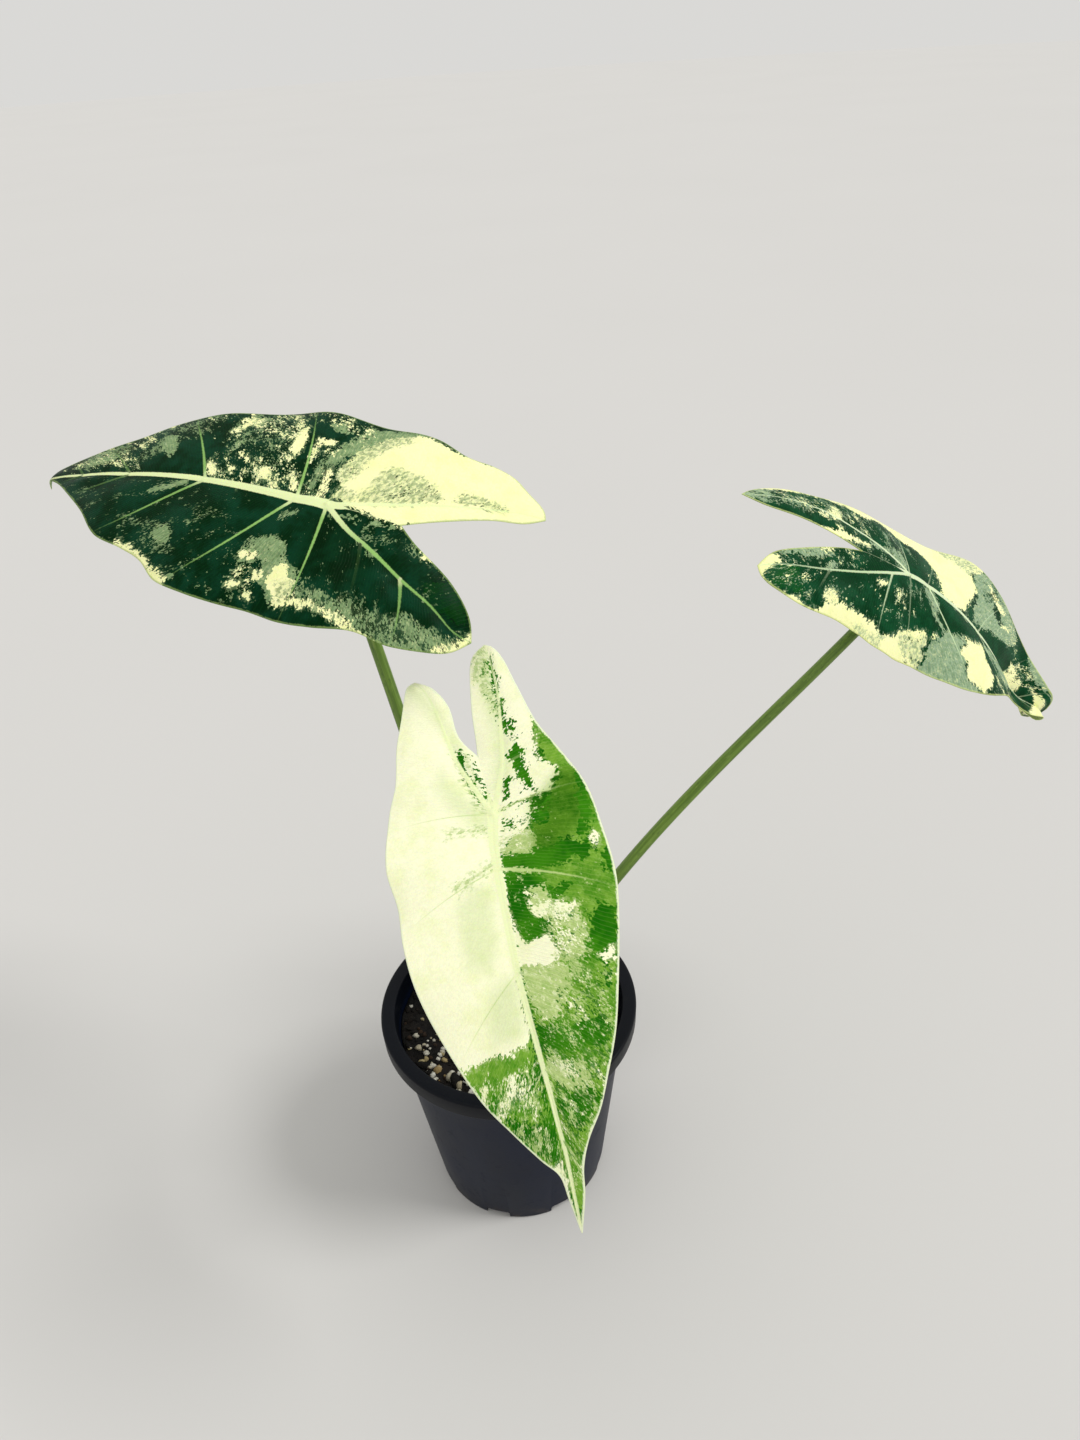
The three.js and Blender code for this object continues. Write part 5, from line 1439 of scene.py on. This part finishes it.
mixBuild = {
    "top": 73, "edge": 38.3, "rings": 64, "sectors": 150, "crumbs": 950, "crumbSize": (0.45, 1.5),
    "chips": 70, "chipSize": (1.6, 3.6), "grains": 130, "grainSize": (0.4, 1.5), "grainRadii": (9, 37),
    "gathered": 0.62, "gatheredAngles": (196, 262), "gatheredRadii": (22, 37),
    "bottom": 3.0, "bottomGap": 1.5, "seed": 71,
    "paints": {
        "dark": paint(10, 9, 8), "brown": paint(24, 19, 15), "bark": paint(54, 39, 27),
        "fibre": paint(72, 58, 42), "grainDirt": paint(120, 108, 88),
        "grain": [(0.0, paint(196, 194, 184)), (0.45, paint(172, 167, 150)), (0.72, paint(150, 136, 98)),
                  (1.0, paint(132, 106, 62))],
    },
}

# larger grains, thick at the front left: (x, y, size)
largeGrains = [
    (-24.5, -21.5, 1.5), (-20.4, -25.2, 1.7), (-28.8, -14.6, 1.3), (-26.5, -19.4, 1.2), (-17.2, -28.6, 1.4),
    (-31.5, -12.1, 1.2), (-13.0, -31.8, 1.3), (-22.4, -17.5, 1.1), (-30.2, -17.9, 1.1), (-15.6, -24.6, 1.2),
    (-33.0, -6.2, 1.1), (-9.4, -33.0, 1.1),
]


def soilHeight(x, y):
    ripple = np.sin(x * 0.31 + 1) * np.cos(y * 0.27) + 0.6 * np.sin(x * 0.71 - y * 0.53)
    return mixBuild["top"] + 0.48 * ripple


def roughSoil(x, y):
    rough = [noise.noise((a * 0.35, b * 0.35, 0)) * 0.5 + noise.noise((a * 0.9, b * 0.9, 4)) * 0.45
             + noise.noise((a * 2.1, b * 2.1, 9)) * 0.28 for a, b in zip(np.ravel(x), np.ravel(y))]
    return soilHeight(x, y) + np.reshape(rough, np.shape(x))


def soilFinish():
    s = Shader("potting_mix_dark")
    paints = mixBuild["paints"]
    place = s.place()
    tint = s.number("tint")
    fine = s.noise(place, (900, 900, 900), 5.0, 0.7)
    patches = s.noise(place, (160, 160, 160), 3.0, 0.6)
    colour = s.mix(s.smooth(patches, 0.35, 0.7), paints["dark"], paints["brown"])
    colour = s.mix(s.smooth(tint, 0.5, 1.0) * 0.8, colour, paints["bark"])
    colour = s.mix(s.smooth(fine, 0.62, 0.8) * 0.3, colour, paints["fibre"])
    return s.finish({"Specular IOR Level": 0.25}, {
        "Base Color": colour, "Roughness": 0.82 + fine * 0.16, "Normal": s.bump(fine, 0.8, 0.0006)})


def grainFinish():
    s = Shader("perlite_grain")
    paints = mixBuild["paints"]
    place = s.place()
    tint = s.number("tint")
    fine = s.noise(place, (1400, 1400, 1400), 5.0, 0.7)
    colour = s.ramp(tint, paints["grain"])
    colour = s.mix(s.smooth(fine, 0.52, 0.72) * 0.5, colour, paints["grainDirt"])
    return s.finish({"Specular IOR Level": 0.3}, {
        "Base Color": colour, "Roughness": 0.78 + fine * 0.15, "Normal": s.bump(fine, 0.7, 0.0004)})


def scatter(name, placed, material):
    # placed: (points, faces, tint) for each lump, all in one piece
    points, faces, tints = [], [], []
    offset = 0
    for shape, sides, tint in placed:
        points.append(shape)
        faces.append(sides + offset)
        tints.append(np.full(len(shape), tint))
        offset += len(shape)
    piece = pieceFrom(name, np.concatenate(points), np.concatenate(faces), material)
    addNumbers(piece, "tint", np.concatenate(tints))
    return piece


def spunLump(rng, detail, size, squash, roughness, place):
    points, faces = lump(detail, rng, roughness)
    spin = Matrix.Rotation(rng.uniform(0, 6.28), 3, "Z") @ Matrix.Rotation(rng.uniform(0, 3.14), 3, "X")
    points = (points * np.array(squash) * size) @ np.array(spin)
    return points + np.array(place), faces


def makeMix():
    b = mixBuild
    rng = np.random.default_rng(b["seed"])
    radii = np.concatenate([[0.0], np.linspace(0.02, 1, b["rings"])]) * b["edge"]
    angles = np.arange(b["sectors"]) * 2 * math.pi / b["sectors"]
    points = [(0, 0, float(roughSoil(0.0, 0.0)))]
    for radius in radii[1:]:
        x, y = radius * np.cos(angles), radius * np.sin(angles)
        points += list(zip(x, y, roughSoil(x, y)))
    bottom, low = b["bottom"], potWall(b["bottom"]) - b["bottomGap"]
    points += [(low * math.cos(a), low * math.sin(a), bottom) for a in angles] + [(0, 0, bottom)]
    n, rings = b["sectors"], len(radii) - 1
    faces = [[0, 1 + i, 1 + (i + 1) % n] for i in range(n)]
    for r in range(rings):
        for i in range(n):
            k = (i + 1) % n
            faces.append([1 + r * n + i, 1 + (r + 1) * n + i, 1 + (r + 1) * n + k, 1 + r * n + k])
    faces += [[1 + rings * n + i, len(points) - 1, 1 + rings * n + (i + 1) % n] for i in range(n)]
    finish = soilFinish()
    bed = pieceFrom("potting_mix", points, faces, finish, ["soil"])
    addNumbers(bed, "tint", np.zeros(len(points)))

    crumbs = []
    for i in range(b["crumbs"] + b["chips"]):
        radius, angle = (b["edge"] - 1.2) * math.sqrt(rng.uniform(0.03, 1)), rng.uniform(0, 6.28)
        x, y = radius * math.cos(angle), radius * math.sin(angle)
        if i < b["crumbs"]:
            size = rng.uniform(*b["crumbSize"]) * rng.uniform(0.6, 1)
            squash, roughness = (1, rng.uniform(0.6, 1), rng.uniform(0.5, 0.9)), 0.55
        else:
            size = rng.uniform(*b["chipSize"])
            squash, roughness = (1, rng.uniform(0.3, 0.5), rng.uniform(0.16, 0.3)), 0.4
        z = float(roughSoil(x, y)) + size * 0.12
        shape = spunLump(rng, 1, size, squash, roughness, (x, y, z))
        crumbs.append((*shape, rng.uniform(0, 1) ** 1.5))
    scatter("mix_crumbs", crumbs, finish)

    grains = []
    for i in range(b["grains"]):
        gathered = i < b["grains"] * b["gathered"]
        angle = math.radians(rng.uniform(*b["gatheredAngles"]) if gathered else rng.uniform(0, 360))
        radius = rng.uniform(*b["gatheredRadii"]) if gathered else rng.uniform(*b["grainRadii"])
        size = rng.uniform(*b["grainSize"]) * rng.uniform(0.5, 1)
        grains.append((radius * math.cos(angle), radius * math.sin(angle), size))
    placed = []
    for x, y, size in grains + largeGrains:
        squash = (1, rng.uniform(0.72, 1), rng.uniform(0.62, 0.9))
        shape = spunLump(rng, 2, size, squash, 0.5, (x, y, float(roughSoil(x, y)) + size * 0.25))
        placed.append((*shape, rng.uniform(0, 1) ** 1.6))
    scatter("perlite", placed, grainFinish())


makeMix()
print("potting mix made")


# the room and its lights are placed in metres
roomBuild = {
    "floor": paint(209, 208, 206), "floorVeil": paint(208, 207, 205), "reach": 8,
    "sky": 0.7, "skyColour": paint(255, 254, 251),
}

lightBuild = {
    "window": {"place": (1.6, -0.3, 1.9), "strength": 1.45, "spread": 20, "colour": (1.0, 0.99, 0.97)},
    "ceiling": {"place": (-0.3, -0.9, 2.6), "strength": 0.22, "spread": 70, "colour": (1.0, 1.0, 1.0)},
}

# where the camera stands in millimetres, how far it looks down and leans in degrees, and its focal length
# in pixels of a picture that is frameHeight pixels high
cameraBuild = {
    "stand": (17.28, -261.1, 370.9), "down": 33.59, "lean": 3.68, "focal": 1082, "frameHeight": 1440,
}


def makeRoom():
    s = Shader("floor_pale")
    place = s.place()
    veil = s.noise(place, (2.2, 2.2, 2.2), 3.0, 0.5)
    colour = s.mix(s.smooth(veil, 0.3, 0.75), roomBuild["floor"], roomBuild["floorVeil"])
    finish = s.finish({"Specular IOR Level": 0.0}, {"Base Color": colour, "Roughness": 0.5 + veil * 0.1})
    points, faces = turned([(0, 0), (0.6, 0), (roomBuild["reach"], 0)], 96)
    mesh = bpy.data.meshes.new("floor")
    mesh.from_pydata(points, [], faces)
    mesh.materials.append(finish)
    mesh.shade_smooth()
    floor = bpy.data.objects.new("floor", mesh)
    bpy.context.scene.collection.objects.link(floor)
    world = bpy.data.worlds.new("soft_room")
    world.use_nodes = True
    sky = world.node_tree.nodes["Background"]
    sky.inputs["Color"].default_value = roomBuild["skyColour"]
    sky.inputs["Strength"].default_value = roomBuild["sky"]
    bpy.context.scene.world = world


def addLight(name, place, strength, spread, colour):
    # a broad soft light that shines from the given place towards the plant
    light = bpy.data.lights.new(name, "SUN")
    light.energy, light.angle, light.color = strength, math.radians(spread), colour
    lamp = bpy.data.objects.new(name, light)
    lamp.rotation_euler = (-Vector(place)).to_track_quat("-Z", "Y").to_euler()
    lamp.location = place
    bpy.context.scene.collection.objects.link(lamp)


def addCamera():
    build = cameraBuild
    a, r = math.radians(build["down"]), math.radians(build["lean"])
    ahead = Vector((0, math.cos(a), -math.sin(a)))
    level, upright = Vector((1, 0, 0)), Vector((0, math.sin(a), math.cos(a)))
    right = math.cos(r) * level - math.sin(r) * upright
    up = math.sin(r) * level + math.cos(r) * upright
    camera = bpy.data.cameras.new("camera")
    camera.sensor_width = 36
    camera.lens = camera.sensor_width * build["focal"] / build["frameHeight"]
    camera.clip_start = 0.01
    eye = bpy.data.objects.new("camera", camera)
    axes = Matrix((right, up, -ahead)).transposed().to_4x4()
    eye.matrix_world = Matrix.Translation(Vector(build["stand"]) * mm) @ axes
    bpy.context.scene.collection.objects.link(eye)
    bpy.context.scene.camera = eye


makeRoom()
for lightName, given in lightBuild.items():
    addLight(lightName, **given)
addCamera()
bpy.context.scene.view_settings.view_transform = "Standard"
print("room, lights and camera made")
